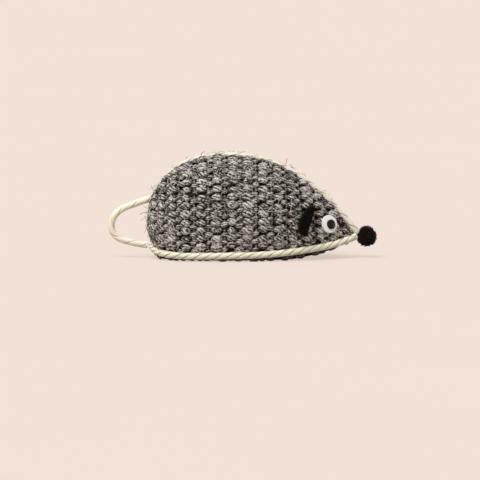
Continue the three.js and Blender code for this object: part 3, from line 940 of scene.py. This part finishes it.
def shade_shell(sheet, outer, inner, rim_depth, name, material):
    """A closed dark shell just under the yarns, painted shade seen between them, nearer to the face along
    the edge.
    """
    nu, nt = SHELL_GRID
    i = np.linspace(0, sheet.points.shape[0] - 1, nu).astype(int)
    k = np.linspace(0, sheet.points.shape[1] - 1, nt).astype(int)
    points = sheet.points[np.ix_(i, k)]
    normals = sheet.normals[np.ix_(i, k)]
    room = np.abs(points[:, :1, 1:2])
    first = rim_depth + (outer - rim_depth) * ease(*SHELL_RIM, room - np.abs(points[..., 1:2]))
    first = np.minimum(first, NARROW_OUTER[0] + NARROW_OUTER[1] * room)
    last = np.minimum(inner, NARROW_INNER[0] + NARROW_INNER[1] * room)
    shell = np.concatenate([(points - depth * normals).reshape(-1, 3) for depth in (first, last)])

    def at(a, b, layer):
        return layer * nu * nt + a * nt + b

    faces = []
    for a in range(nu - 1):
        for b in range(nt - 1):
            faces.append((at(a, b, 0), at(a + 1, b, 0), at(a + 1, b + 1, 0), at(a, b + 1, 0)))
            faces.append((at(a, b, 1), at(a, b + 1, 1), at(a + 1, b + 1, 1), at(a + 1, b, 1)))
    rim = [(a, 0) for a in range(nu)] + [(nu - 1, b) for b in range(1, nt)]
    rim += [(a, nt - 1) for a in range(nu - 2, -1, -1)] + [(0, b) for b in range(nt - 2, 0, -1)]
    for (a, b), (c, d) in zip(rim, rim[1:] + rim[:1]):
        faces.append((at(a, b, 0), at(a, b, 1), at(c, d, 1), at(c, d, 0)))
    piece = mesh_piece(name, shell, faces, material)
    edit_mesh(piece, turn_outward)
    return piece


FIBRE_ROOM = 0.4


def clear_fibres(work):
    """Take away the fibres that reach the ears or the eyes."""
    found = set()
    for node in [side + part for side in SIDES for part in ("_ear", "_eye_dome")]:
        low, high = (Vector(corner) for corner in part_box(node))
        for vert in work.verts:
            if all(low[k] - FIBRE_ROOM * MM < vert.co[k] < high[k] + FIBRE_ROOM * MM for k in range(3)):
                found.add(vert)
    edge = list(found)
    while edge:
        near = {e.other_vert(v) for v in edge for e in v.link_edges} - found
        found |= near
        edge = list(near)
    bmesh.ops.delete(work, geom=list(found), context="VERTS")


def vertex_places(mesh):
    """The places of a mesh's points, in rows."""
    places = np.empty(3 * len(mesh.vertices), np.float32)
    mesh.vertices.foreach_get("co", places)
    return places.reshape(-1, 3)


def move_vertices(mesh, places):
    """Give a mesh's points new places."""
    mesh.vertices.foreach_set("co", places.ravel())
    mesh.update()


def joint_of(name):
    """A joint of the frame's record, by its name."""
    return next(joint for joint in frame["record"]["behaviour"]["joints"] if joint["name"] == name)


EAR_ROOM = 0.6
EAR_REACH = 2
EAR_LOOK_BACK = 6
DEEPEST_PRESS = 3


def turned_ear(ear, hinge, degrees):
    """The mesh of an ear's solid, turned on its hinge."""
    pivot = Vector(hinge["pos_m"])
    turn = Matrix.Rotation(math.radians(degrees), 4, Vector(hinge["axis"]))
    shape = bmesh.new()
    shape.from_mesh(ear.data)
    shape.transform(Matrix.Translation(pivot) @ turn @ Matrix.Translation(-pivot) @ ear.matrix_world)
    return shape


def press_under_ear(piece, side):
    """Press down the yarns that the ear would cut at rest or at an end of its flap."""
    hinge = joint_of(side + "_ear_flap")
    lowest, highest = hinge["range_deg"]
    places = vertex_places(piece.data)
    inward = None
    for degrees in (lowest, 0, highest):
        shape = turned_ear(bpy.data.objects[side + "_ear"], hinge, degrees)
        tree = BVHTree.FromBMesh(shape)
        corners = np.array([vert.co for vert in shape.verts])
        shape.free()
        if inward is None:
            inward = Vector(np.linalg.svd(corners - corners.mean(0), full_matrices=False)[2][2])
            inward *= -math.copysign(1, inward.y * SIDES[side])
        near = (places > corners.min(0) - EAR_REACH * MM) & (places < corners.max(0) + EAR_REACH * MM)
        for index in np.flatnonzero(near.all(1)):
            place = Vector(places[index])
            hit = tree.ray_cast(place + EAR_LOOK_BACK * MM * inward, -inward)[0]
            if hit is None:
                continue
            sink = (hit - place).dot(inward) + EAR_ROOM * MM
            if 0 < sink < DEEPEST_PRESS * MM:
                places[index] = place + sink * inward
    move_vertices(piece.data, places)


FLOOR_ROOM = 0.05


def keep_above_floor(piece):
    """Press what would go through the floor flat on it."""
    places = vertex_places(piece.data)
    places[:, 2] = np.maximum(places[:, 2], FLOOR_ROOM * MM)
    move_vertices(piece.data, places)


def join_pieces(first, other):
    """Join a mesh into the first, keeping both materials."""
    for piece in bpy.context.selected_objects:
        piece.select_set(False)
    for piece in (first, other):
        piece.select_set(True)
    bpy.context.view_layer.objects.active = first
    bpy.ops.object.join()


def tree_of(name, make):
    """The node tree of that name, made at its first use."""
    return bpy.data.node_groups.get(name) or make()


def start_tree(name, numbers, **others):
    """Start a Geometry Nodes tree with named inputs; return it with its input and output nodes."""
    tree = bpy.data.node_groups.new(name, "GeometryNodeTree")
    kinds = {"Geometry": "Geometry"} | {key: "Float" for key in numbers} | others | {"Material": "Material"}
    for key, kind in kinds.items():
        tree.interface.new_socket(key, in_out="INPUT", socket_type="NodeSocket" + kind)
    tree.interface.new_socket("Geometry", in_out="OUTPUT", socket_type="NodeSocketGeometry")
    return tree, tree.nodes.new("NodeGroupInput").outputs, tree.nodes.new("NodeGroupOutput").inputs


def finish_tree(tree, geometry, material, output):
    """End a tree with Realize Instances and Set Material."""
    solid = made(tree, "GeometryNodeRealizeInstances", {"Geometry": geometry})
    dressed = made(tree, "GeometryNodeSetMaterial", {"Geometry": solid, "Material": material})
    tree.links.new(dressed, output["Geometry"])
    return tree


def solid_mesh(piece):
    """The mesh of a piece with its modifiers carried out."""
    graph = bpy.context.evaluated_depsgraph_get()
    return bpy.data.meshes.new_from_object(piece.evaluated_get(graph))


def grow(name, base, tree, values):
    """Run a tree on an object, and return its result as a plain mesh object."""
    modifier = base.modifiers.new("Grow", "NODES")
    modifier.node_group = tree
    for item in tree.interface.items_tree:
        if item.in_out == "INPUT" and item.name in values:
            modifier[item.identifier] = values[item.name]
    mesh = solid_mesh(base)
    mesh.name = name
    base.modifiers.remove(modifier)
    return link_piece(name, mesh)


def keep_on(tree, geometry, **values):
    """Keep numbers on a line before it becomes a mesh; return the Capture node's outputs."""
    node = put(tree, "GeometryNodeCaptureAttribute", {"Geometry": geometry})
    for name in values:
        node.capture_items.new("FLOAT", name)
    for name, value in values.items():
        tree.links.new(value, node.inputs[name])
    return node.outputs


def store(tree, geometry, name, value, domain):
    """Store a number on a geometry, for its material."""
    inputs = {"Geometry": geometry, "Name": name, "Value": value}
    return made(tree, "GeometryNodeStoreNamedAttribute", inputs, domain=domain)


def tube(tree, line, section):
    """A closed tube of a section along a line."""
    inputs = {"Curve": line, "Profile Curve": section, "Fill Caps": True}
    return made(tree, "GeometryNodeCurveToMesh", inputs)


ROPE_CORNERS = 36
ROPE_STEP = 0.35
GROOVE_SHARPNESS = 40.0


def rope_tree():
    """A rope along a line: a section with a lobe for each strand, which turns as it goes."""
    tree, given, output = start_tree("twisted_rope", ("Radius", "Lay", "Groove", "Strands", "Step"))
    line = made(tree, "GeometryNodeMeshToCurve", {"Mesh": given["Geometry"]})
    line = made(tree, "GeometryNodeResampleCurve", {"Curve": line, "Length": given["Step"]}, mode="LENGTH")
    place = made(tree, "GeometryNodeSplineParameter", None, "Length")
    angle = times(tree, maths(tree, "DIVIDE", place, given["Lay"]), -2 * HALF_TURN)
    line = made(tree, "GeometryNodeSetCurveTilt", {"Curve": line, "Tilt": angle})
    on_line = keep_on(tree, line, along=place)
    circle = made(tree, "GeometryNodeCurvePrimitiveCircle", {"Resolution": ROPE_CORNERS, "Radius": 1.0})
    round_way = made(tree, "GeometryNodeSplineParameter", None, "Factor")
    turn = times(tree, times(tree, round_way, given["Strands"]), 2 * HALF_TURN)
    far = maths(tree, "SUBTRACT", maths(tree, "COSINE", turn), 1.0)
    sharp = maths(tree, "DIVIDE", GROOVE_SHARPNESS, times(tree, given["Strands"], given["Strands"]))
    near = maths(tree, "EXPONENT", times(tree, far, sharp))
    on_circle = keep_on(tree, circle, groove=near, around=round_way)
    shrink = maths(tree, "SUBTRACT", 1.0, times(tree, near, given["Groove"]))
    shrink = times(tree, shrink, given["Radius"])
    spot = made(tree, "GeometryNodeInputPosition")
    moved = made(tree, "ShaderNodeVectorMath", {0: spot, "Scale": shrink}, operation="SCALE")
    section = made(tree, "GeometryNodeSetPosition", {"Geometry": on_circle["Geometry"], "Position": moved})
    body = tube(tree, on_line["Geometry"], section)
    body = store(tree, body, "along", times(tree, on_line["along"], PER_MM), "POINT")
    for key in ("groove", "around"):
        body = store(tree, body, key, on_circle[key], "POINT")
    body = made(tree, "GeometryNodeSetShadeSmooth", {"Geometry": body})
    return finish_tree(tree, body, given["Material"], output)


def rope_piece(name, line, rope, strands, material):
    """Make a rope of so many strands along a line of points in millimetres."""
    mesh = bpy.data.meshes.new(name + "_line")
    mesh.from_pydata((np.asarray(line) * MM).tolist(), [(k, k + 1) for k in range(len(line) - 1)], [])
    guide = link_piece(name + "_line", mesh)
    values = {
        "Radius": rope.diameter / 2,
        "Lay": rope.lay,
        "Groove": rope.groove,
        "Strands": strands,
        "Step": ROPE_STEP * MM,
        "Material": material,
    }
    piece = grow(name, guide, tree_of("twisted_rope", rope_tree), values)
    bpy.data.objects.remove(guide)
    return piece


HIGH_YARN = 0.15
# Each bend: where the fibre's middle lies along it, how high, and how high the tip ends.
FIBRE_BENDS = ((0.5, 1.4, -0.6), (0.35, 1.2, 0.5), (0.65, 0.8, -0.5), (0.4, 1.7, 0.1))
FIBRE_CORNERS = 3
FIBRE_PARTS = 5
LONGEST_FIBRE = 1.6
TURN_SEED = 11
LENGTH_SEED = 23
TONE_SEED = 37


def random_number(tree, low, high, seed):
    """A random number for each fibre."""
    inputs = {"Min": low, "Max": high, "Seed": seed}
    return made(tree, "FunctionNodeRandomValue", inputs, 1, data_type="FLOAT")


def hair_tree():
    """Short bent fibres scattered over a surface, standing off it at random."""
    numbers = ("Density", "Length", "Radius", "Lift", "Shortest")
    tree, given, output = start_tree("loose_fibres", numbers, Seed="Int", **{"Only high": "Bool"})
    deep = made(tree, "GeometryNodeInputNamedAttribute", {"Name": "deep"}, "Attribute", data_type="FLOAT")
    limit = {"A": deep, "B": HIGH_YARN}
    high = made(tree, "FunctionNodeCompare", limit, operation="LESS_THAN", data_type="FLOAT")
    anywhere = made(tree, "FunctionNodeBooleanMath", {0: given["Only high"]}, operation="NOT")
    choose = made(tree, "FunctionNodeBooleanMath", {0: high, 1: anywhere}, operation="OR")
    scatter = put(
        tree,
        "GeometryNodeDistributePointsOnFaces",
        {"Mesh": given["Geometry"], "Selection": choose, "Density": given["Density"], "Seed": given["Seed"]},
        distribute_method="RANDOM",
    )
    kinds = tree.nodes.new("GeometryNodeGeometryToInstance")
    circle = {"Resolution": FIBRE_CORNERS, "Radius": given["Radius"]}
    section = made(tree, "GeometryNodeCurvePrimitiveCircle", circle)
    for middle, peak, end in FIBRE_BENDS:
        reach = times(tree, given["Length"], middle)
        points = {
            "Resolution": FIBRE_PARTS,
            "Start": (0.0, 0.0, 0.0),
            "Middle": vector_of(tree, reach, 0.0, times(tree, given["Lift"], peak)),
            "End": vector_of(tree, given["Length"], 0.0, times(tree, given["Lift"], end)),
        }
        curve = made(tree, "GeometryNodeCurveQuadraticBezier", points)
        tree.links.new(tube(tree, curve, section), kinds.inputs[0])
    turn = {"Axis": (0.0, 0.0, 1.0), "Angle": random_number(tree, 0.0, 2 * HALF_TURN, TURN_SEED)}
    around = made(tree, "FunctionNodeAxisAngleToRotation", turn)
    both = {"Rotation": scatter.outputs["Rotation"], "Rotate By": around}
    scale = random_number(tree, given["Shortest"], LONGEST_FIBRE, LENGTH_SEED)
    inputs = {
        "Points": scatter.outputs["Points"],
        "Instance": kinds.outputs[0],
        "Pick Instance": True,
        "Rotation": made(tree, "FunctionNodeRotateRotation", both, rotation_space="LOCAL"),
        "Scale": vector_of(tree, scale, scale, scale),
    }
    placed = made(tree, "GeometryNodeInstanceOnPoints", inputs)
    placed = store(tree, placed, "tone", random_number(tree, 0.0, 1.0, TONE_SEED), "INSTANCE")
    return finish_tree(tree, placed, given["Material"], output)


def grow_fibres(name, base, material, seed, density, length, radius, lift, shortest, only_high=False):
    """Grow fibres on a piece: so many in a square metre, with their lengths in metres."""
    values = {
        "Density": density,
        "Length": length,
        "Radius": radius,
        "Lift": lift,
        "Shortest": shortest,
        "Seed": seed,
        "Only high": only_high,
        "Material": material,
    }
    return grow(name, base, tree_of("loose_fibres", hair_tree), values)


def place_piece(piece, body, slot, *nodes):
    """Let a piece ride on a body and stand for the frame's nodes; slot is not used."""
    if nodes:
        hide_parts(*nodes)
    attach(piece, body)


SENSOR = 36
FAR_CLIP = 50000
FLOOR_HALF = 30000
FLOOR_GRAIN = 0.995
FLOOR_LIT = 0.86
FLOOR_DIM = 0.5
KEY_WAY = (0.28, 0.42, -0.86)
KEY_STRENGTH = 2.5
KEY_SPREAD = math.radians(34)
EVEN_LIGHT = (0.54, 0.54, 0.54, 1.0)


class MOUSE_OT_stage(bpy.types.Operator):
    """Make the floor, the lights and the camera"""

    bl_idname = "mouse.stage"
    bl_label = "Floor, lights and camera"

    def execute(self, context):
        scene = context.scene
        look = scene.mouse_stage
        scene.view_settings.view_transform = "Standard"
        target = Vector((look.view_x, 0, look.view_z))
        way = Vector((0, -math.cos(look.elevation), math.sin(look.elevation)))
        lens = bpy.data.cameras.new("camera")
        lens.sensor_width = SENSOR
        lens.lens = SENSOR * look.camera_distance / look.view_width
        lens.clip_end = FAR_CLIP * MM
        camera = link_piece("camera", lens)
        camera.location = target + way * look.camera_distance
        camera.rotation_euler = (-way).to_track_quat("-Z", "Y").to_euler()
        scene.camera = camera
        self.floor(look)
        self.light()
        self.world(scene, look)
        return {"FINISHED"}

    def floor(self, look):
        """A wide pale floor."""
        material, tree, shader = new_material("floor_paper", 1.0, 0.0)
        grain = noise(tree, object_place(tree, 8.0), 1.0, 2.0)
        paper = ramp(tree, grain, [(0.3, toned(look.floor, FLOOR_GRAIN)), (0.7, look.floor)])
        glow = made(tree, "ShaderNodeEmission", {"Color": paper})
        path = put(tree, "ShaderNodeLightPath").outputs
        lit, dim = toned(look.floor, FLOOR_LIT), toned(look.floor, FLOOR_DIM)
        paint(tree, shader, mix_colour(tree, path["Is Diffuse Ray"], lit, dim))
        seen = times(tree, path["Is Camera Ray"], look.shadow_lift)
        mixed = made(tree, "ShaderNodeMixShader", {0: seen, 1: shader.outputs[0], 2: glow})
        tree.links.new(mixed, tree.nodes["Material Output"].inputs["Surface"])
        half = FLOOR_HALF
        corners = [(-half, -half, 0), (half, -half, 0), (half, half, 0), (-half, half, 0)]
        mesh_piece("floor", corners, [(0, 1, 2, 3)], material)

    def light(self):
        """A soft key light from above and ahead."""
        lamp = bpy.data.lights.new("key", "SUN")
        lamp.energy = KEY_STRENGTH
        lamp.angle = KEY_SPREAD
        key = link_piece("key", lamp)
        key.rotation_euler = Vector(KEY_WAY).to_track_quat("-Z", "Y").to_euler()

    def world(self, scene, look):
        """Even light from all round, with the floor's colour behind."""
        world = bpy.data.worlds.new("studio")
        scene.world = world
        world.use_nodes = True
        tree = world.node_tree
        path = put(tree, "ShaderNodeLightPath").outputs
        seen = maths(tree, "MAXIMUM", path["Is Camera Ray"], path["Is Glossy Ray"])
        seen = maths(tree, "MAXIMUM", seen, path["Is Transmission Ray"])
        backdrop = mix_colour(tree, seen, EVEN_LIGHT, look.floor)
        tree.links.new(backdrop, tree.nodes["Background"].inputs["Color"])


# The middle of the tail's rope, from its upper root to its lower: along and up.
TAIL_ROUTE = (
    (-49.6, 26.4), (-51.5, 25.8), (-54.4, 24.9), (-57.3, 23.8), (-59.8, 22.9), (-62.2, 21.8),
    (-64.3, 20.2), (-65.9, 18.2), (-66.8, 15.9), (-66.9, 13.5), (-66.2, 11.2), (-64.7, 9.4),
    (-62.6, 8.2), (-60.2, 7.4), (-57.6, 6.8), (-55.4, 6.3), (-53.4, 6.0), (-50.8, 5.7),
)
TAIL_PARTS = 6
TAIL_STRANDS = 2


def smooth_route(points, count):
    """Points of a smooth line through the given ones."""
    points = np.asarray(points, float)
    padded = np.vstack((2 * points[0] - points[1], points, 2 * points[-1] - points[-2]))
    t = np.linspace(0, 1, count, endpoint=False)[:, None]
    result = []
    for k in range(1, len(padded) - 2):
        a, b, c, d = padded[k - 1 : k + 3]
        square = (2 * a - 5 * b + 4 * c - d) * t**2
        cube = (3 * b - a - 3 * c + d) * t**3
        result.append(0.5 * (2 * b + (c - a) * t + square + cube))
    return np.vstack((*result, points[-1:]))


class MOUSE_OT_tail(bpy.types.Operator):
    """Make the tail, a loop of rope sewn into the rear seam at both ends"""

    bl_idname = "mouse.tail"
    bl_label = "Tail loop"

    def execute(self, context):
        rope = context.scene.mouse_rope
        route = smooth_route([(x, 0, z) for x, z in TAIL_ROUTE], TAIL_PARTS)
        finish = rope_material("tail_rope", rope.tail_pale, rope.tail_straw, rope.tail_groove_shade)
        piece = rope_piece("tail_rope", route, rope, TAIL_STRANDS, finish)
        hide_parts("tail_loop")
        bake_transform(piece)
        return {"FINISHED"}


# Each panel's first row and column in millimetres, its random seed and its share of loose fibres.
PANELS = {
    "right_side": (6.5, -4.4, 5, 1.0),
    "left_side": (7.1, -4.4, 6, 1.0),
    "base": (0.4, -2.0, 7, 0.06),
}
PER_SQUARE_METRE = 1e4
FIBRE_THINNING = 3
LOOSE_LIFT = 0.3
LOOSE_SHORTEST = 0.35


class MOUSE_OT_cloth(bpy.types.Operator):
    """Weave the two sides and the base"""

    bl_idname = "mouse.cloth"
    bl_label = "Woven cloth"

    def execute(self, context):
        form = BodyForm(context.scene.mouse_body)
        cloth = context.scene.mouse_cloth
        yarn, under, fibre = sisal_material(cloth), shade_shell_material(cloth), fibre_material(cloth)
        for name, (row, column, seed, few) in PANELS.items():
            side = name.split("_")[0]
            if side in SIDES:
                sheet = side_sheet(form, SIDES[side], cloth.proud / MM, cloth.puff / MM)
            else:
                sheet = base_sheet(form)
            rng = np.random.default_rng(seed)
            piece = weave(sheet, cloth, row, column, rng, name + "_cloth", yarn)
            if side in SIDES:
                press_under_ear(piece, side)
            fuzz = grow_fibres(
                name + "_fibres",
                piece,
                fibre,
                seed=seed,
                density=few * cloth.hair_density * PER_SQUARE_METRE / FIBRE_THINNING,
                length=cloth.hair_length,
                radius=cloth.hair_radius,
                lift=LOOSE_LIFT * MM,
                shortest=LOOSE_SHORTEST,
                only_high=True,
            )
            edit_mesh(fuzz, clear_fibres)
            keep_above_floor(fuzz)
            keep_above_floor(piece)
            place_piece(fuzz, "mouse", "sisal_cloth")
            # The dark shell under the yarns is painted shade between them.
            rim_depth = BASE_RIM_SHELL if name == "base" else SHELL_DEPTHS[0]
            join_pieces(piece, shade_shell(sheet, *SHELL_DEPTHS, rim_depth, name + "_painted_gap_shade", under))
            place_piece(piece, "mouse", "sisal_cloth", name + "_panel")
        return {"FINISHED"}


SPINE_WAYS = (0, 0.997, 300)
BASE_ROPE_WAYS = (0.004, 0.985, 300)
SPINE_SUNK = 1.2
SUNK_WAYS = (0.2, 0.42)
SPINE_START_HEIGHT = 27.2
SPINE_FRONT = 0.4
BASE_ROPE_RISE = 0.35
SPINE_STRANDS = 2
BASE_STRANDS = 3


class MOUSE_OT_ropes(bpy.types.Operator):
    """Lay the ropes over the three seams"""

    bl_idname = "mouse.ropes"
    bl_label = "Seam ropes"

    def execute(self, context):
        form = BodyForm(context.scene.mouse_body)
        rope = context.scene.mouse_rope
        spine_finish = rope_material("spine_rope", rope.spine_pale, rope.straw, rope.spine_groove_shade)
        base_finish = rope_material("base_rope", rope.pale, rope.straw, rope.groove_shade)
        proud = rope.proud / MM
        u = np.linspace(*SPINE_WAYS)
        sunk = SPINE_SUNK * (1 - ease(*SUNK_WAYS, u))
        spine = form.rope_line(form.spine, u, (proud - sunk)[:, None])
        spine = spine[(spine[:, 2] > SPINE_START_HEIGHT) | (u > SPINE_FRONT)]
        edge = form.rope_line(form.base_edge, np.linspace(*BASE_ROPE_WAYS), proud)
        edge = edge + np.array((0, 0, BASE_ROPE_RISE))
        lines = (
            ("spine_rope_strands", spine, SPINE_STRANDS, spine_finish, "spine_rope"),
            ("right_base_strands", edge, BASE_STRANDS, base_finish, "right_base_rope"),
            ("left_base_strands", edge * MIRROR, BASE_STRANDS, base_finish, "left_base_rope"),
        )
        for name, line, strands, finish, node in lines:
            piece = rope_piece(name, line, rope, strands, finish)
            place_piece(piece, "mouse", "rope", node)
        return {"FINISHED"}


PILE_GRAIN = 0.4
PILE_SUNK = 0.9
LUMP_SEED = 3
LUMP_RATE = 3.1
LUMP_HEIGHT = 0.03
PILE_SEED = 4
PILE_DENSITY = 2.4e7
PILE_REACH = 0.35
PILE_RADIUS = 0.05
PILE_LIFT = 0.8
PILE_SHORTEST = 0.7


class MOUSE_OT_pompom(bpy.types.Operator):
    """Make the black pompom at the tip of the snout"""

    bl_idname = "mouse.pompom"
    bl_label = "Pompom"

    def execute(self, context):
        trim = context.scene.mouse_trim
        material = soft_black_material("black_pile", trim.pile, PILE_GRAIN * MM)
        low, high = (Vector(p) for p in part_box("nose_pompom"))
        middle, radius = (low + high) / 2, min(high - low) / 2
        work = bmesh.new()
        bmesh.ops.create_icosphere(work, subdivisions=4, radius=radius - PILE_SUNK * trim.pile_length)
        phase = np.random.default_rng(LUMP_SEED).uniform(0, 6, (3, 3))
        for vert in work.verts:
            way = np.array(vert.co.normalized())
            lump = sum(math.sin(LUMP_RATE * float(way @ np.cos(p)) + p[0]) for p in phase)
            vert.co = vert.co * (1 + LUMP_HEIGHT * lump) + middle
        mesh = bpy.data.meshes.new("pompom_core")
        work.to_mesh(mesh)
        work.free()
        mesh.materials.append(material)
        core = link_piece("pompom_core", mesh)
        pile = grow_fibres(
            "pompom_pile",
            core,
            material,
            seed=PILE_SEED,
            density=PILE_DENSITY,
            length=PILE_REACH * trim.pile_length,
            radius=PILE_RADIUS * MM,
            lift=PILE_LIFT * trim.pile_length,
            shortest=PILE_SHORTEST,
        )
        join_pieces(core, pile)
        core.name = "pompom"
        place_piece(core, "mouse", "black_pile", "nose_pompom")
        return {"FINISHED"}


def rounded_copy(node, name, voxel, material):
    """A copy of a frame node's solid, remeshed and smoothed as soft stuff is."""
    piece = link_piece(name, bpy.data.objects[node].data.copy())
    edit_mesh(piece, turn_outward)
    remesh = piece.modifiers.new("Remesh", "REMESH")
    remesh.mode = "VOXEL"
    remesh.voxel_size = voxel
    smooth = piece.modifiers.new("Smooth", "SMOOTH")
    smooth.iterations = FELT_SMOOTHING
    mesh = solid_mesh(piece)
    bpy.data.objects.remove(piece)
    mesh.materials.clear()
    mesh.materials.append(material)
    mesh.polygons.foreach_set("material_index", [0] * len(mesh.polygons))
    mesh.polygons.foreach_set("use_smooth", [True] * len(mesh.polygons))
    return link_piece(name, mesh)


FELT_GRAIN = 0.3
FELT_VOXEL = 0.22
FELT_SMOOTHING = 4
FELT_SEEDS = {"right": 30, "left": 31}
FELT_DENSITY = 1.2e7
FELT_LENGTH = 0.3
FELT_RADIUS = 0.025
FELT_LIFT = 0.22
FELT_SHORTEST = 0.4


class MOUSE_OT_ears(bpy.types.Operator):
    """Make the two felt ears"""

    bl_idname = "mouse.ears"
    bl_label = "Felt ears"

    def execute(self, context):
        trim = context.scene.mouse_trim
        material = soft_black_material("black_felt", trim.felt, FELT_GRAIN * MM)
        for side, seed in FELT_SEEDS.items():
            piece = rounded_copy(f"{side}_ear", f"{side}_ear_felt", FELT_VOXEL * MM, material)
            fuzz = grow_fibres(
                f"{side}_ear_fuzz",
                piece,
                material,
                seed=seed,
                density=FELT_DENSITY,
                length=FELT_LENGTH * MM,
                radius=FELT_RADIUS * MM,
                lift=FELT_LIFT * MM,
                shortest=FELT_SHORTEST,
            )
            join_pieces(piece, fuzz)
            place_piece(piece, f"{side}_ear", "black_felt", f"{side}_ear")
        return {"FINISHED"}


ON_AXIS = 1e-6
TURN_STEPS = 72
ARCH_STEPS = 14
EDGE_STEPS = 6


def turned(name, profile, centre, axis, material):
    """A closed turned solid from (radius, height) pairs in millimetres, about an axis."""
    axis = unit(axis)
    first = unit(np.cross(axis, (0.0, 0.0, 1.0)))
    second = np.cross(axis, first)
    steps = TURN_STEPS
    angle = np.linspace(0, 2 * HALF_TURN, steps, endpoint=False)[:, None]
    ring = np.cos(angle) * first + np.sin(angle) * second
    points = np.concatenate([centre + radius * ring + height * axis for radius, height in profile])
    faces = []
    for row in range(len(profile) - 1):
        for k in range(steps):
            n = (k + 1) % steps
            faces.append((row * steps + k, row * steps + n, (row + 1) * steps + n, (row + 1) * steps + k))
    piece = mesh_piece(name, points, faces, material)
    edit_mesh(piece, turn_outward)
    return piece


def arch(radius, high):
    """A quarter of an oval, from its rim to its top."""
    angle = np.linspace(0, HALF_TURN / 2, ARCH_STEPS)
    return [(max(ON_AXIS, radius * math.cos(a)), high * math.sin(a)) for a in angle]


def dome_profile(radius, high, wall):
    """The closed section of a hollow dome."""
    shell = arch(radius, high) + arch(radius - wall, high - wall)[::-1]
    return shell + shell[:1]


def disc_profile(radius, thickness, rounding):
    """The section of a disc with a rounded upper edge."""
    edge = []
    for a in np.linspace(0, HALF_TURN / 2, EDGE_STEPS):
        across, up = rounding * math.cos(a), rounding * math.sin(a)
        edge.append((radius - rounding + across, thickness - rounding + up))
    return [(ON_AXIS, 0.0), (radius, 0.0)] + edge + [(ON_AXIS, thickness)]


def measure(node, axis):
    """The foot, radius and height in millimetres of a round solid that stands along an axis."""
    corners = np.array([v.co for v in bpy.data.objects[node].data.vertices]) / MM
    height = corners @ axis
    flat = corners - height[:, None] * axis
    middle = (flat.max(0) + flat.min(0)) / 2
    radius = np.linalg.norm(flat - middle, axis=1).max()
    return middle + height.min() * axis, radius, float(np.ptp(height))


BACK_ROUNDING = 0.25
PUPIL_ROUNDING = 0.18


class MOUSE_OT_eyes(bpy.types.Operator):
    """Make the two googly eyes: a white back, a loose black pupil and a clear dome"""

    bl_idname = "mouse.eyes"
    bl_label = "Eyes"

    def execute(self, context):
        trim = context.scene.mouse_trim
        white = plastic_material("eye_white_plastic", trim.eye_white, 0.4, 0.4)
        black = plastic_material("eye_black_plastic", trim.eye_black, 0.5, 0.15)
        clear = clear_material()
        for side in SIDES:
            axis = unit(joint_of(f"{side}_pupil_roll")["axis"])
            parts = (
                ("back", "disc", disc_profile, BACK_ROUNDING, white, "mouse", "eye_white"),
                ("pupil", "bead", disc_profile, PUPIL_ROUNDING, black, f"{side}_pupil", "eye_black"),
                ("dome", "cover", dome_profile, trim.dome_wall / MM, clear, "mouse", "eye_clear"),
            )
            for part, name, profile, detail, finish, body, slot in parts:
                centre, radius, rise = measure(f"{side}_eye_{part}", axis)
                section = profile(radius, rise, detail)
                piece = turned(f"{side}_eye_{name}", section, centre, axis, finish)
                place_piece(piece, body, slot, f"{side}_eye_{part}")
        return {"FINISHED"}


SEAM_THREADS = ("spine_seam_thread", "right_base_seam_thread", "left_base_seam_thread")
INSIDE_FINISHES = (
    ("fibre_fill", (226, 222, 212), (246, 244, 238), 1.2, 0.5, ("stuffing",)),
    ("muslin", (216, 205, 180), (234, 226, 206), 0.4, 0.1, ("pouch_upper_sheet", "pouch_lower_sheet")),
    ("catnip_leaf", (74, 82, 44), (132, 134, 84), 0.9, 0.5, ("catnip_fill",)),
    ("sewing_thread", (182, 172, 148), (214, 206, 186), 0.25, 0.05, SEAM_THREADS),
)
BLACK_THREAD = srgb(20, 19, 18)
THREAD_GRAIN = 0.2


def finish_nodes(nodes, material):
    """Give the frame's own nodes a material."""
    for node in nodes:
        for slot in bpy.data.objects[node].material_slots:
            slot.material = material


class MOUSE_OT_inside(bpy.types.Operator):
    """Finish the pieces inside: stuffing, catnip pouch and threads"""

    bl_idname = "mouse.inside"
    bl_label = "Stuffing, pouch and threads"

    def execute(self, context):
        for *look, nodes in INSIDE_FINISHES:
            finish_nodes(nodes, inside_material(*look))
        black = soft_black_material("black_thread", BLACK_THREAD, THREAD_GRAIN * MM)
        finish_nodes(("nose_thread",), black)
        return {"FINISHED"}


OPERATORS = (
    MOUSE_OT_stage,
    MOUSE_OT_tail,
    MOUSE_OT_cloth,
    MOUSE_OT_ropes,
    MOUSE_OT_pompom,
    MOUSE_OT_ears,
    MOUSE_OT_eyes,
    MOUSE_OT_inside,
)


class MOUSE_PT_panel(bpy.types.Panel):
    """The mouse's pieces, in the sidebar"""

    bl_idname = "MOUSE_PT_panel"
    bl_label = "Catnip mouse"
    bl_space_type = "VIEW_3D"
    bl_region_type = "UI"
    bl_category = "Mouse"

    def draw(self, context):
        for operator in OPERATORS:
            self.layout.operator(operator.bl_idname)


SETTINGS = {
    "mouse_body": BodySizes,
    "mouse_cloth": ClothLook,
    "mouse_rope": RopeLook,
    "mouse_trim": TrimLook,
    "mouse_stage": StageLook,
}


def register():
    """Register the settings, the operators and the panel."""
    for name, group in SETTINGS.items():
        bpy.utils.register_class(group)
        setattr(bpy.types.Scene, name, PointerProperty(type=group))
    for operator in OPERATORS:
        bpy.utils.register_class(operator)
    bpy.utils.register_class(MOUSE_PT_panel)


def unregister():
    """Remove what register added."""
    bpy.utils.unregister_class(MOUSE_PT_panel)
    for operator in reversed(OPERATORS):
        bpy.utils.unregister_class(operator)
    for name, group in SETTINGS.items():
        delattr(bpy.types.Scene, name)
        bpy.utils.unregister_class(group)


def main():
    """Make every piece in order."""
    register()
    for operator in OPERATORS:
        group, action = operator.bl_idname.split(".")
        getattr(getattr(bpy.ops, group), action)()


if __name__ == "__main__":
    main()
